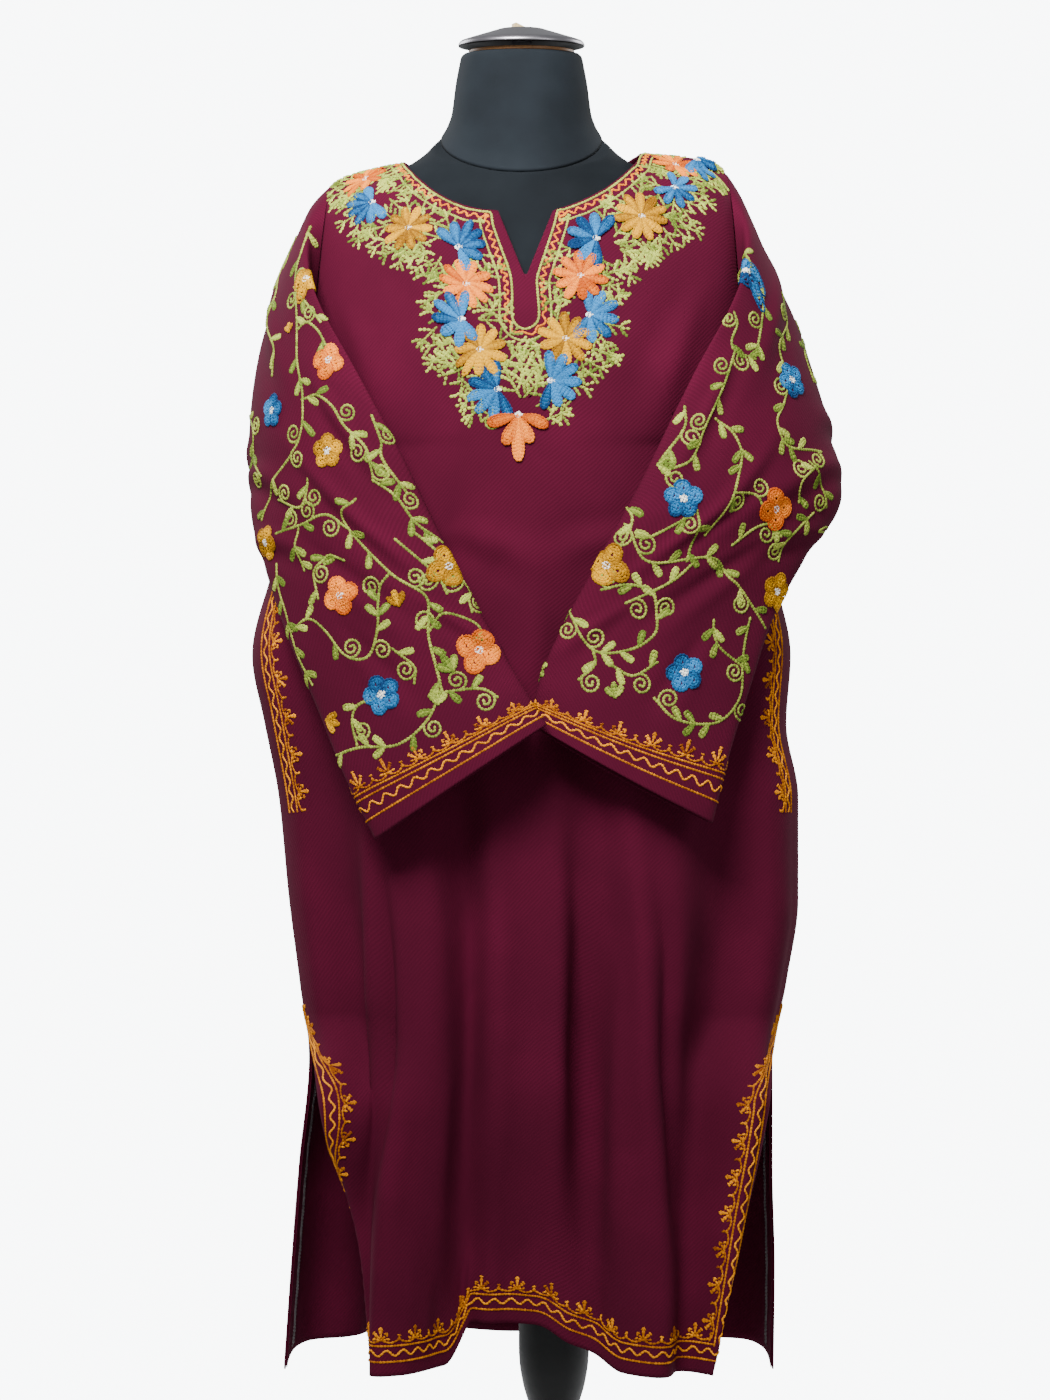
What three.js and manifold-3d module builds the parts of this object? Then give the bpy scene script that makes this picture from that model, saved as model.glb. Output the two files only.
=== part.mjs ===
// A long wool pheran with wide sleeves, side slits and side pockets, worn by a limbless dress form
// on a round stand. Units are millimetres, +Z is up, the front faces -Y and +X is the viewer's right.
// The origin is the centre of the base's underside. "Left" and "right" of a place are as seen from
// the front; the sleeves and pockets are named for the wearer, so sleeve_right is at -X.

import * as THREE from "three";
import { mergeVertices } from "three/addons/utils/BufferGeometryUtils.js";
import Module from "manifold-3d";

const wasm = await Module();
wasm.setup();

// Driving dimensions of the garment
const CLOTH = 1.6; // wall thickness of the wool
const SEAM = 0.3; // gap kept between two pieces at a seam
const SEAM_Y = 6; // depth of the shoulder and side seams
const UNDERARM_Z = 1141;
const SLIT_TOP_Z = 652;
const HEM_Z = 358;
const BACK_HEM_Z = 351;
const BACK_CORNER_DROP = 16; // how far the back hem's corners hang below its middle
const POCKET = { z: 922, half: 92, gap: 15, deep: 0.36, wall: 1.2, inset: 2.2 };
const NECK_SLIT = { x: -25, z: 1281 };
const FACING = { from: 0.9, wall: 1 };

// Driving dimensions of the form and its stand
const FORM_X = -28.5; // the neck's middle, because the form leans a little on its stand
const LEAN_FOOT_Z = 355;
const SHOULDER_Z = 1400;
const TORSO_FOOT_Z = 756;
const NECK_TOP = { z: 1492, tilt: 6 };
const COLUMN = { r: 31, foot: 288, tip: 18 };
const POLE_R = 16;
const BASE = { r: 190, rim: 12, height: 24, collarR: 27, collar: 62 };
const CAP = { r: 55.5, lip: 5, height: 16, lift: 3 };

// Values in a table between two rows, eased by each row's own slope so that no bump appears.
function lookup(rows, key, value) {
  const up = rows[rows.length - 1][key] > rows[0][key];
  const sorted = up ? rows : [...rows].reverse();
  const last = sorted.length - 1;
  const clamped = Math.min(Math.max(value, sorted[0][key]), sorted[last][key]);
  let i = 0;
  while (i < last - 1 && sorted[i + 1][key] < clamped) i++;
  const step = (a, column) =>
    (sorted[a + 1][column] - sorted[a][column]) / (sorted[a + 1][key] - sorted[a][key]);
  const slope = (a, column) => {
    if (a === 0) return step(0, column);
    if (a === last) return step(last - 1, column);
    const before = step(a - 1, column);
    const after = step(a, column);
    return before * after <= 0 ? 0 : (2 * before * after) / (before + after);
  };
  const width = sorted[i + 1][key] - sorted[i][key];
  const f = (clamped - sorted[i][key]) / width;
  const found = {};
  for (const column of Object.keys(sorted[i])) {
    const rise = sorted[i + 1][column] - sorted[i][column];
    const m0 = slope(i, column) * width;
    const m1 = slope(i + 1, column) * width;
    found[column] =
      sorted[i][column] + m0 * f + (3 * rise - 2 * m0 - m1) * f * f + (m0 + m1 - 2 * rise) * f * f * f;
  }
  return found;
}

const mix = (a, b, f) => a + (b - a) * f;
const bump = (x) => (Math.abs(x) >= 1 ? 0 : Math.cos((x * Math.PI) / 2) ** 2);
const ease = (x) => {
  const f = Math.min(Math.max(x, 0), 1);
  return f * f * (3 - 2 * f);
};
const formX = (z) =>
  (FORM_X * Math.min(Math.max(z - LEAN_FOOT_Z, 0), 2000)) / (SHOULDER_Z - LEAN_FOOT_Z);

// The line of the shoulders, from one sleeve seam to the other, seen from the front.
const SHOULDER_LINE = [
  { s: -1, x: -196, z: 1378 },
  { s: -0.87, x: -173, z: 1388.5 },
  { s: -0.62, x: -133, z: 1399 },
  { s: -0.2, x: -60, z: 1414 },
  { s: 0.15, x: 0, z: 1416 },
  { s: 0.6, x: 80, z: 1407 },
  { s: 0.88, x: 131, z: 1401 },
  { s: 1, x: 152, z: 1388 },
];

// Each armhole is an upright ring: its middle, how it leans sideways, and its half sizes.
const ARMHOLE = {
  left: { x: -206, lean: 10, z: 1259.5, tall: 118.5, deep: 62 },
  right: { x: 160, lean: -8, z: 1264.5, tall: 123.5, deep: 62 },
};

// Where the side seams run at each height below the arms.
const SIDES = [
  { z: 1141, left: -216, right: 168 },
  { z: 1090, left: -227, right: 180 },
  { z: 1030, left: -250, right: 195 },
  { z: 965, left: -265, right: 208 },
  { z: 905, left: -254, right: 204 },
  { z: 840, left: -242, right: 215 },
  { z: 750, left: -233, right: 215 },
  { z: 680, left: -224, right: 205 },
  { z: 610, left: -216, right: 193 },
  { z: 515, left: -225, right: 193 },
  { z: 425, left: -232, right: 195 },
  { z: 340, left: -238, right: 194 },
];

// How far the cloth stands forward and back at the middle, by its drop below the shoulder line.
const DEPTHS = [
  { drop: 0, front: 6, back: 6 },
  { drop: 2, front: -12, back: 22 },
  { drop: 6, front: -27, back: 36 },
  { drop: 14, front: -42, back: 50 },
  { drop: 28, front: -59, back: 64 },
  { drop: 45, front: -72, back: 76 },
  { drop: 70, front: -86, back: 88 },
  { drop: 110, front: -103, back: 99 },
  { drop: 160, front: -119, back: 105 },
  { drop: 215, front: -129, back: 107 },
  { drop: 290, front: -131, back: 107 },
  { drop: 400, front: -126, back: 108 },
  { drop: 600, front: -119, back: 110 },
  { drop: 1080, front: -112, back: 112 },
];

// How far the front hem is drawn up between its two large folds.
const HEM_LIFT = [
  { s: -1, lift: 0 },
  { s: -0.19, lift: 0 },
  { s: -0.13, lift: 36 },
  { s: 0, lift: 36 },
  { s: 0.065, lift: 22 },
  { s: 0.12, lift: 14 },
  { s: 0.17, lift: 2 },
  { s: 0.3, lift: 0 },
  { s: 1, lift: 0 },
];

// Folds: where across the panel, how far they reach, and how far they stand out at three heights.
// side is how far the fold leans sideways at the hem.
const FOLD_LEVELS = { high: 880, mid: 620, low: HEM_Z, none: 1130 };
const FRONT_FOLDS = [
  { at: -0.33, reach: 0.2, high: 7, mid: 20, low: 26, side: -9 },
  { at: -0.16, reach: 0.1, high: -5, mid: -17, low: -34, side: 4 },
  { at: -0.04, reach: 0.13, high: 0, mid: -3, low: -30, side: 0 },
  { at: 0.095, reach: 0.1, high: -7, mid: -16, low: -12, side: 0 },
  { at: 0.24, reach: 0.16, high: 7, mid: 20, low: 28, side: 8 },
  { at: -0.54, reach: 0.2, high: -9, mid: -20, low: 4, side: 0 },
  { at: 0.46, reach: 0.18, high: -9, mid: -20, low: -6, side: 0 },
  { at: 0.68, reach: 0.16, high: 3, mid: 8, low: 2, side: 0 },
];
const BACK_FOLDS = [
  { at: -0.55, reach: 0.2, high: -4, mid: -11, low: -14, side: 0 },
  { at: -0.3, reach: 0.2, high: 5, mid: 14, low: 20, side: -6 },
  { at: -0.02, reach: 0.18, high: -5, mid: -14, low: -20, side: 0 },
  { at: 0.27, reach: 0.2, high: 5, mid: 14, low: 20, side: 6 },
  { at: 0.54, reach: 0.2, high: -4, mid: -11, low: -14, side: 0 },
];
// The front's two corners swing in and forward below the slits, by this much at the hem.
const SWING = { left: 90, right: 58, forward: 66, reach: 0.84 };
// Below the slit tops the front's edges turn to face forwards; lower down the left one goes back
// and folds in behind the fold beside it
const EDGES = { flat: 0.9, deep: 118, quick: 0.25, from: 0.26, to: 0.62, tuck: 42, reach: 0.4, right: 8 };

const SLEEVE_SQUARE = 2.7; // how square a sleeve's section is at the cuff; 2 is an oval
const SECTION_POWER = 2 / 2.4; // squareness of the body's plan
const EDGE_TURN = { armhole: 78, seam: 90 }; // how far the plan turns towards its side edge, degrees

function seamX(side, z) {
  const a = ARMHOLE[side];
  if (z <= a.z - a.tall) return lookup(SIDES, "z", z)[side];
  const c = Math.min(Math.max((z - a.z) / a.tall, -1), 1);
  return a.x + a.lean * c;
}

// Depth of a panel's side edge: the armhole above, the side seam below, apart at the pocket mouth.
function seamDepth(side, z, facing) {
  const a = ARMHOLE[side];
  const c = Math.min(Math.max((z - a.z) / a.tall, -1), 1);
  const armhole = a.deep * Math.sqrt(1 - c * c);
  const mouth = (POCKET.gap / 2) * bump((z - POCKET.z) / POCKET.half);
  return SEAM_Y + facing * (Math.max(armhole, mouth) + SEAM / 2);
}

function foldHeight(fold, z) {
  const { none, high, mid, low } = FOLD_LEVELS;
  if (z > high) return fold.high * ease((none - z) / (none - high));
  if (z > mid) return mix(fold.high, fold.mid, ease((high - z) / (high - mid)));
  return mix(fold.mid, fold.low, ease((mid - z) / (mid - low)));
}

// The body's plan at one height, without folds; facing is -1 for the front and 1 for the back.
function plan(s, z, drop, facing) {
  const left = seamX("left", z);
  const right = seamX("right", z);
  const below = ease((UNDERARM_Z + 10 - z) / 120);
  const full = THREE.MathUtils.degToRad(mix(EDGE_TURN.armhole, EDGE_TURN.seam, below));
  const turn = Math.abs(s) * full;
  const rest = Math.max(Math.cos(full), 0) ** SECTION_POWER;
  const across = (Math.sin(turn) / Math.sin(full)) ** SECTION_POWER;
  const out = (Math.max(Math.cos(turn), 0) ** SECTION_POWER - rest) / (1 - rest);
  const middle = (left + right) / 2;
  const depths = lookup(DEPTHS, "drop", drop);
  const edge = seamDepth(s < 0 ? "left" : "right", z, facing);
  const reach = facing < 0 ? depths.front : depths.back;
  return [mix(middle, s < 0 ? left : right, across), mix(edge, reach, out)];
}

const hemHeight = (s, facing) =>
  facing < 0
    ? HEM_Z + lookup(HEM_LIFT, "s", s).lift
    : BACK_HEM_Z - BACK_CORNER_DROP * Math.abs(s) ** 8;

// A point of the front or back panel: s runs from the left seam (-1) to the right (1), t from the
// shoulder (0) to the hem (1).
function bodyPoint(s, t, facing) {
  const top = lookup(SHOULDER_LINE, "s", s);
  const z = mix(top.z, hemHeight(s, facing), t);
  const drop = top.z - z;
  const [bx, y] = plan(s, z, drop, facing);
  const x = mix(top.x, bx, Math.max(ease(drop / 40), Math.abs(s) ** 8));
  const step = 0.01;
  const [x0, y0] = plan(Math.max(s - step, -1), z, drop, facing);
  const [x1, y1] = plan(Math.min(s + step, 1), z, drop, facing);
  const length = Math.hypot(x1 - x0, y1 - y0) || 1;
  const normal = [(-(y1 - y0) / length) * facing, ((x1 - x0) / length) * facing];
  let out = 0;
  let side = 0;
  for (const fold of facing < 0 ? FRONT_FOLDS : BACK_FOLDS) {
    const share = bump((s - fold.at) / fold.reach);
    out += share * foldHeight(fold, z);
    side += share * fold.side * ease((SLIT_TOP_Z - z) / (SLIT_TOP_Z - HEM_Z));
  }
  const point = [x + normal[0] * out + side, y + normal[1] * out, z];
  if (facing < 0) {
    const q = Math.max((SLIT_TOP_Z - z) / (SLIT_TOP_Z - HEM_Z), 0);
    const share = bump((1 - Math.abs(s)) / SWING.reach);
    point[0] += share * (s < 0 ? SWING.left : -SWING.right) * q ** 1.15;
    point[1] -= share * SWING.forward * q ** 0.75;
    const turned = 1 - Math.max(Math.cos((Math.abs(s) * Math.PI) / 2), 0) ** SECTION_POWER;
    const kept = s < 0 ? 1 - ease((q - EDGES.from) / (EDGES.to - EDGES.from)) : 1;
    const deep = EDGES.deep - SWING.forward * q ** 0.75;
    point[1] -= turned * EDGES.flat * ease(q / EDGES.quick) * kept * deep;
    const near = bump((1 - Math.abs(s)) / EDGES.reach) * ease((q - 0.3) / 0.7);
    point[0] += near * (s < 0 ? EDGES.tuck : -EDGES.right);
  }
  return point;
}

// Four named points of each sleeve section, from the armhole to the cuff: its outer fold, the
// middle of its front layer, its inner fold and the middle of its back layer.
const SLEEVE_RIGHT = [
  { outer: [-224, 60, 1286], fore: [-213, -27, 1351], inner: [-211, -67, 1206], back: [-230, 29, 1142] },
  { outer: [-238, 48, 1246], fore: [-221, -53, 1320], inner: [-203, -86, 1193], back: [-236, 12, 1122] },
  { outer: [-244, 28, 1204], fore: [-221, -82, 1286], inner: [-187, -102, 1170], back: [-237, -14, 1100] },
  { outer: [-252, 4, 1162], fore: [-212, -110, 1240], inner: [-162, -118, 1136], back: [-230, -46, 1078] },
  { outer: [-259, -20, 1118], fore: [-200, -134, 1172], inner: [-127, -134, 1094], back: [-213, -85, 1060] },
  { outer: [-260, -44, 1076], fore: [-178, -149, 1094], inner: [-95, -146, 1050], back: [-189, -112, 1038] },
  { outer: [-243, -76, 1025], fore: [-158, -156, 1036], inner: [-71, -152, 1010], back: [-163, -125, 1008] },
  { outer: [-222, -102, 970], fore: [-140, -162, 982], inner: [-53, -156, 980], back: [-138, -136, 968] },
  { outer: [-198, -120, 915], fore: [-118, -168, 934], inner: [-37, -160, 953], back: [-116, -144, 926] },
  { outer: [-176, -134, 862], fore: [-100, -174, 896], inner: [-22, -166, 928], back: [-98, -151, 888] },
  { outer: [-150, -146, 809], fore: [-79, -180, 858], inner: [-7, -170, 905], back: [-79, -160, 856] },
];
const SLEEVE_LEFT = [
  { outer: [176, 60, 1291], fore: [165, -27, 1358], inner: [165, -66, 1209], back: [185, 29, 1144] },
  { outer: [190, 46, 1252], fore: [174, -52, 1326], inner: [157, -84, 1196], back: [199, 14, 1124] },
  { outer: [203, 22, 1212], fore: [174, -80, 1290], inner: [141, -100, 1172], back: [203, -14, 1104] },
  { outer: [221, -4, 1174], fore: [166, -106, 1242], inner: [116, -116, 1138], back: [195, -52, 1086] },
  { outer: [239, -28, 1136], fore: [153, -131, 1172], inner: [82, -132, 1096], back: [175, -86, 1072] },
  { outer: [247, -48, 1094], fore: [138, -146, 1098], inner: [48, -142, 1056], back: [148, -110, 1052] },
  { outer: [217, -72, 1050], fore: [118, -148, 1048], inner: [27, -144, 1024], back: [122, -124, 1028] },
  { outer: [185, -96, 994], fore: [96, -150, 996], inner: [9, -144, 992], back: [94, -130, 984] },
  { outer: [165, -114, 938], fore: [78, -154, 948], inner: [-6, -144, 960], back: [78, -134, 940] },
  { outer: [146, -126, 880], fore: [64, -158, 902], inner: [-17, -145, 928], back: [62, -136, 894] },
  { outer: [131, -136, 822], fore: [56, -163, 862], inner: [-18, -148, 903], back: [56, -140, 858] },
];

// The sleeve's outer fold starts this many of the ring's points round from the shoulder.
const RING = 22;
const FOLD_START = 18;

function armholeRow(side) {
  const a = ARMHOLE[side];
  const x = a.x + (side === "left" ? -1 : 1) * SEAM;
  const point = (quarter) => {
    const angle = (FOLD_START / RING) * 2 * Math.PI + (quarter * Math.PI) / 2;
    const c = Math.cos(angle);
    return [x + a.lean * c, SEAM_Y - a.deep * Math.sin(angle), a.z + a.tall * c];
  };
  return { outer: point(0), fore: point(1), inner: point(2), back: point(3) };
}

// Catmull-Rom through one named point of the rows, at any place between them.
function track(rows, name, place) {
  const i = Math.min(Math.floor(place), rows.length - 2);
  const f = place - i;
  const pick = (n) => rows[Math.min(Math.max(n, 0), rows.length - 1)][name];
  const [a, b, c, d] = [pick(i - 1), pick(i), pick(i + 1), pick(i + 2)];
  return b.map((v, k) => {
    const m0 = (c[k] - a[k]) / 2;
    const m1 = (d[k] - b[k]) / 2;
    const rise = c[k] - b[k];
    return v + m0 * f + (3 * rise - 2 * m0 - m1) * f * f + (m0 + m1 - 2 * rise) * f * f * f;
  });
}

const vec = (p) => new THREE.Vector3(...p);

// A point of a sleeve: turn runs once round from the outer fold over the front layer, place runs
// along the rows. A section is a bowed middle line from fold to fold with a layer on each side of
// it; it is oval at the armhole and squarer and flatter towards the cuff.
function sleevePoint(rows, turn, place) {
  const [outer, inner, fore, back] = ["outer", "inner", "fore", "back"].map((name) =>
    vec(track(rows, name, place)),
  );
  const middle = outer.clone().add(inner).multiplyScalar(0.5);
  const half = outer.clone().sub(inner).multiplyScalar(0.5);
  const bow = fore.clone().add(back).multiplyScalar(0.5).sub(middle);
  const thick = fore.clone().sub(back).multiplyScalar(0.5);
  const axis = half.clone().cross(thick).normalize();
  const deep = Math.abs(thick.dot(axis.clone().cross(half).normalize()));
  const power = 2 / mix(2, SLEEVE_SQUARE, ease(place / 5));
  const c = Math.sign(Math.cos(turn)) * Math.abs(Math.cos(turn)) ** power;
  const w = Math.sign(Math.sin(turn)) * Math.abs(Math.sin(turn)) ** power;
  const along = half.clone().addScaledVector(bow, -2 * c);
  const out = axis.cross(along).normalize().multiplyScalar(deep);
  return middle
    .addScaledVector(half, c)
    .addScaledVector(bow, 1 - c * c)
    .addScaledVector(thick.lerp(out, ease(place / 3)), w)
    .toArray();
}

// The normals of a grid of points; round joins its last column to its first.
function gridNormals(grid, round = false) {
  const columns = grid[0].length;
  const pick = (i, j) => {
    const jj = round ? (j + columns) % columns : Math.min(Math.max(j, 0), columns - 1);
    return grid[Math.min(Math.max(i, 0), grid.length - 1)][jj];
  };
  return grid.map((row, i) =>
    row.map((_, j) => {
      const along = vec(pick(i + 1, j)).sub(vec(pick(i - 1, j)));
      const across = vec(pick(i, j + 1)).sub(vec(pick(i, j - 1)));
      return across.cross(along).normalize();
    }),
  );
}

// A closed solid between two grids of points of the same size.
function solidBetween(outer, inner, round) {
  const rows = outer.length;
  const columns = outer[0].length;
  const positions = [...outer.flat(), ...inner.flat()].flat();
  const at = (layer, i, j) => layer * rows * columns + i * columns + (j % columns);
  const index = [];
  const quad = (a, b, c, d) => index.push(a, b, c, a, c, d);
  const lastColumn = round ? columns : columns - 1;
  for (let i = 0; i < rows - 1; i++)
    for (let j = 0; j < lastColumn; j++) {
      quad(at(0, i, j), at(0, i + 1, j), at(0, i + 1, j + 1), at(0, i, j + 1));
      quad(at(1, i, j), at(1, i, j + 1), at(1, i + 1, j + 1), at(1, i + 1, j));
    }
  for (let j = 0; j < lastColumn; j++) {
    quad(at(0, 0, j), at(0, 0, j + 1), at(1, 0, j + 1), at(1, 0, j));
    quad(at(0, rows - 1, j), at(1, rows - 1, j), at(1, rows - 1, j + 1), at(0, rows - 1, j + 1));
  }
  if (!round)
    for (let i = 0; i < rows - 1; i++) {
      quad(at(0, i, 0), at(1, i, 0), at(1, i + 1, 0), at(0, i + 1, 0));
      const j = columns - 1;
      quad(at(0, i, j), at(0, i + 1, j), at(1, i + 1, j), at(1, i, j));
    }
  const geometry = new THREE.BufferGeometry();
  geometry.setAttribute("position", new THREE.Float32BufferAttribute(positions, 3));
  geometry.setIndex(index);
  return facingOut(geometry);
}

function facingOut(geometry) {
  const p = geometry.attributes.position;
  const index = geometry.index.array;
  let volume = 0;
  const [a, b, c] = [new THREE.Vector3(), new THREE.Vector3(), new THREE.Vector3()];
  for (let i = 0; i < index.length; i += 3) {
    a.fromBufferAttribute(p, index[i]);
    b.fromBufferAttribute(p, index[i + 1]);
    c.fromBufferAttribute(p, index[i + 2]);
    volume += a.dot(b.cross(c));
  }
  if (volume < 0)
    for (let i = 0; i < index.length; i += 3)
      [index[i + 1], index[i + 2]] = [index[i + 2], index[i + 1]];
  return geometry;
}

// The points of a grid moved inwards; way is 1 where the grid's own normals already face outwards.
// Along a seam they are moved within the seam's own plane: seam gives the axes that stay as they are.
// At a sharp fold they are moved less, so that the inner face doesn't run through itself.
function movedIn(grid, distance, way, seam = () => [], round = false) {
  const normals = gridNormals(grid, round);
  const radius = (i, j) => {
    const beside = [[i - 1, j], [i + 1, j], [i, j - 1], [i, j + 1]].map(([a, b]) => [
      Math.min(Math.max(a, 0), grid.length - 1),
      round ? (b + grid[0].length) % grid[0].length : Math.min(Math.max(b, 0), grid[0].length - 1),
    ]);
    const reaches = beside.map(([a, b]) => {
      const turned = normals[a][b].distanceTo(normals[i][j]);
      return turned < 0.01 ? distance * 9 : vec(grid[a][b]).distanceTo(vec(grid[i][j])) / turned;
    });
    return Math.min(...reaches);
  };
  return grid.map((row, i) =>
    row.map((p, j) => {
      const normal = normals[i][j];
      const along = normal.clone();
      for (const axis of seam(i, j, p)) along.setComponent(axis, 0);
      along.normalize();
      const slant = Math.max(Math.abs(along.dot(normal)), 0.65);
      const moved = Math.min(distance / slant, 0.5 * radius(i, j));
      return vec(p).addScaledVector(along, -way * moved).toArray();
    }),
  );
}

// The wall of a piece of cloth: its outer points, and the same points moved in by its thickness.
const wall = (grid, thickness, way, seam, round = false) =>
  solidBetween(grid, movedIn(grid, thickness, way, seam, round), round);

function makeGrid(rows, columns, point) {
  return rows.map((r) => columns.map((c) => point(c, r)));
}

const range = (from, to, count) =>
  Array.from({ length: count + 1 }, (_, i) => mix(from, to, i / count));

function toManifold(geometry) {
  const bare = geometry.clone();
  bare.deleteAttribute("normal");
  bare.deleteAttribute("uv");
  const merged = mergeVertices(bare, 1e-4);
  return new wasm.Manifold(
    new wasm.Mesh({
      numProp: 3,
      vertProperties: new Float32Array(merged.attributes.position.array),
      triVerts: new Uint32Array(merged.index.array),
    }),
  );
}

function fromManifold(solid) {
  const mesh = solid.getMesh();
  const geometry = new THREE.BufferGeometry();
  geometry.setAttribute("position", new THREE.BufferAttribute(mesh.vertProperties, 3));
  geometry.setIndex(new THREE.BufferAttribute(mesh.triVerts, 1));
  return geometry;
}

const cut = (geometry, tool) => fromManifold(toManifold(geometry).subtract(toManifold(tool)));

// A prism that runs along Y over an outline drawn in X and Z.
function prism(outline, fromY, toY) {
  const shape = new THREE.Shape(outline.map(([x, z]) => new THREE.Vector2(x, z)));
  const geometry = new THREE.ExtrudeGeometry(shape, { depth: toY - fromY, bevelEnabled: false });
  geometry.rotateX(Math.PI / 2);
  geometry.translate(0, toY, 0);
  return geometry;
}

// The neck opening: a wide scoop in front with a slit below it, and a shallow scoop behind.
const SCOOP = { left: -133, right: 80, top: 1398, rightTop: 1407, low: 1342, slitHalf: 23.5 };
function frontNeckOutline() {
  const left = new THREE.CubicBezierCurve(
    new THREE.Vector2(SCOOP.left, SCOOP.top + 2),
    new THREE.Vector2(SCOOP.left + 16, SCOOP.low + 24),
    new THREE.Vector2(SCOOP.left + 46, SCOOP.low + 1),
    new THREE.Vector2(NECK_SLIT.x - SCOOP.slitHalf, SCOOP.low),
  );
  const right = new THREE.CubicBezierCurve(
    new THREE.Vector2(NECK_SLIT.x + SCOOP.slitHalf, SCOOP.low),
    new THREE.Vector2(SCOOP.right - 44, SCOOP.low + 12),
    new THREE.Vector2(SCOOP.right - 16, SCOOP.low + 30),
    new THREE.Vector2(SCOOP.right, SCOOP.rightTop + 2),
  );
  const points = [...left.getPoints(10), new THREE.Vector2(NECK_SLIT.x, NECK_SLIT.z), ...right.getPoints(10)];
  return [...points.map((p) => [p.x, p.y]), [SCOOP.right, 1480], [SCOOP.left, 1480]];
}
function backNeckOutline() {
  const scoop = new THREE.CubicBezierCurve(
    new THREE.Vector2(SCOOP.left, SCOOP.top + 2),
    new THREE.Vector2(SCOOP.left + 30, SCOOP.top - 14),
    new THREE.Vector2(SCOOP.right - 30, SCOOP.top - 8),
    new THREE.Vector2(SCOOP.right, SCOOP.rightTop + 2),
  );
  return [...scoop.getPoints(12).map((p) => [p.x, p.y]), [SCOOP.right, 1480], [SCOOP.left, 1480]];
}

// The rows of a panel meet the armholes where the sleeves' own points are, with two more over the
// shoulder, where the cloth turns. Each row is a share of the way down at the left and right edge.
const BELOW_ARM = 13;
function panelRows(facing) {
  const share = (side, c) => {
    const a = ARMHOLE[side];
    return (a.tall * (1 - c)) / (a.z + a.tall - hemHeight(1, facing));
  };
  const rows = range(0, Math.PI, RING / 2).map((a) => Math.cos(a));
  rows.splice(1, 0, 0.986);
  rows.splice(3, 0, 0.91);
  const upper = rows.map((c) => [share("left", c), share("right", c)]);
  const arm = upper[upper.length - 1];
  const lower = range(0, 1, BELOW_ARM).slice(1).map((f) => [mix(arm[0], 1, f), mix(arm[1], 1, f)]);
  return [...upper, ...lower];
}

// Columns from side to side, closer together towards both sides by the share given.
const columns = (count, crowd) =>
  range(-1, 1, count).map((s) => mix(s, Math.sin((s * Math.PI) / 2), crowd));
const FRONT_COLUMNS = columns(42, 0.25);
const BACK_COLUMNS = columns(24, 0.7);

function panelGrid(facing) {
  const point = (s, row) => bodyPoint(s, mix(row[0], row[1], (s + 1) / 2), facing);
  return makeGrid(panelRows(facing), facing < 0 ? FRONT_COLUMNS : BACK_COLUMNS, point);
}

// The seams of a panel: the shoulder's and the side's lie across Y, the armhole's across X.
function panelSeam(i, j, p, last) {
  const edge = j === 0 || j === last;
  const axes = i === 0 ? [1] : [];
  if (edge) axes.push(p[2] > UNDERARM_Z + 3 ? 0 : 1);
  return axes;
}

function panel(facing) {
  const outline = facing < 0 ? frontNeckOutline() : backNeckOutline();
  const tool = facing < 0 ? prism(outline, -220, 12) : prism(outline, 0, 220);
  const grid = panelGrid(facing);
  const seam = (i, j, p) => panelSeam(i, j, p, grid[0].length - 1);
  return cut(wall(grid, CLOTH, facing, seam), tool);
}

function sleeve(rows, side) {
  const all = [armholeRow(side), ...rows];
  const turns = range(0, 2 * Math.PI, RING).slice(0, RING);
  turns.forEach((turn, k) => (turns[k] = turn - (FOLD_START / RING) * 2 * Math.PI));
  const places = range(0, all.length - 1, 18);
  const grid = makeGrid(places, turns, (turn, place) => sleevePoint(all, turn, place));
  const seam = (i) => (i === 0 ? [0] : []);
  return wall(grid, CLOTH, side === "left" ? -1 : 1, seam, true);
}

// A pocket bag hangs inside the front panel from the mouth in the side seam: its front layer
// follows the panel, moved in, and its back layer closes towards it away from the mouth.
function pocketBag(side) {
  const sign = side === "left" ? -1 : 1;
  const tOf = (z) => {
    const top = lookup(SHOULDER_LINE, "s", sign).z;
    return (top - z) / (top - HEM_Z);
  };
  const top = POCKET.z + POCKET.half * 0.9;
  const foot = POCKET.z - POCKET.half * 1.5;
  const layers = (extra, mouth) => {
    const across = range(1 - mouth, 1 - POCKET.deep - extra * 0.006, 5).map((s) => sign * s);
    const down = range(tOf(top + extra), tOf(foot - extra), 5);
    const grid = makeGrid(down, across, (s, t) => bodyPoint(s, t, -1));
    const normals = gridNormals(grid);
    const flip = normals[2][2].x * sign < 0 ? -1 : 1;
    const moved = (distance) =>
      grid.map((row, i) =>
        row.map((p, j) => vec(p).addScaledVector(normals[i][j], -flip * distance(j)).toArray()),
      );
    return moved;
  };
  const inner = POCKET.inset + CLOTH;
  const gap = (j) => mix(POCKET.gap, 3, j / 5);
  const outside = layers(POCKET.wall, 0.012);
  const inside = layers(0, 0.002);
  const bag = solidBetween(
    outside(() => inner),
    outside((j) => inner + gap(j) + 2 * POCKET.wall),
    false,
  );
  const hollow = solidBetween(
    inside(() => inner + POCKET.wall),
    inside((j) => inner + gap(j) + POCKET.wall),
    false,
  );
  return cut(bag, hollow);
}

// A turned-in facing along a slit of the back panel, made from the panel's points, moved in.
function slitFacing(side) {
  const sign = side === "left" ? -1 : 1;
  const near = BACK_COLUMNS.map((s, j) => [s * sign, j]).filter(([s]) => s > FACING.from);
  const grid = panelGrid(1);
  const strip = (distance) =>
    movedIn(grid, distance, 1)
      .map((row) => near.map(([, j]) => row[j]))
      .filter((row) => row[0][2] < SLIT_TOP_Z + 20);
  return solidBetween(strip(CLOTH + SEAM), strip(CLOTH + SEAM + FACING.wall), false);
}

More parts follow.
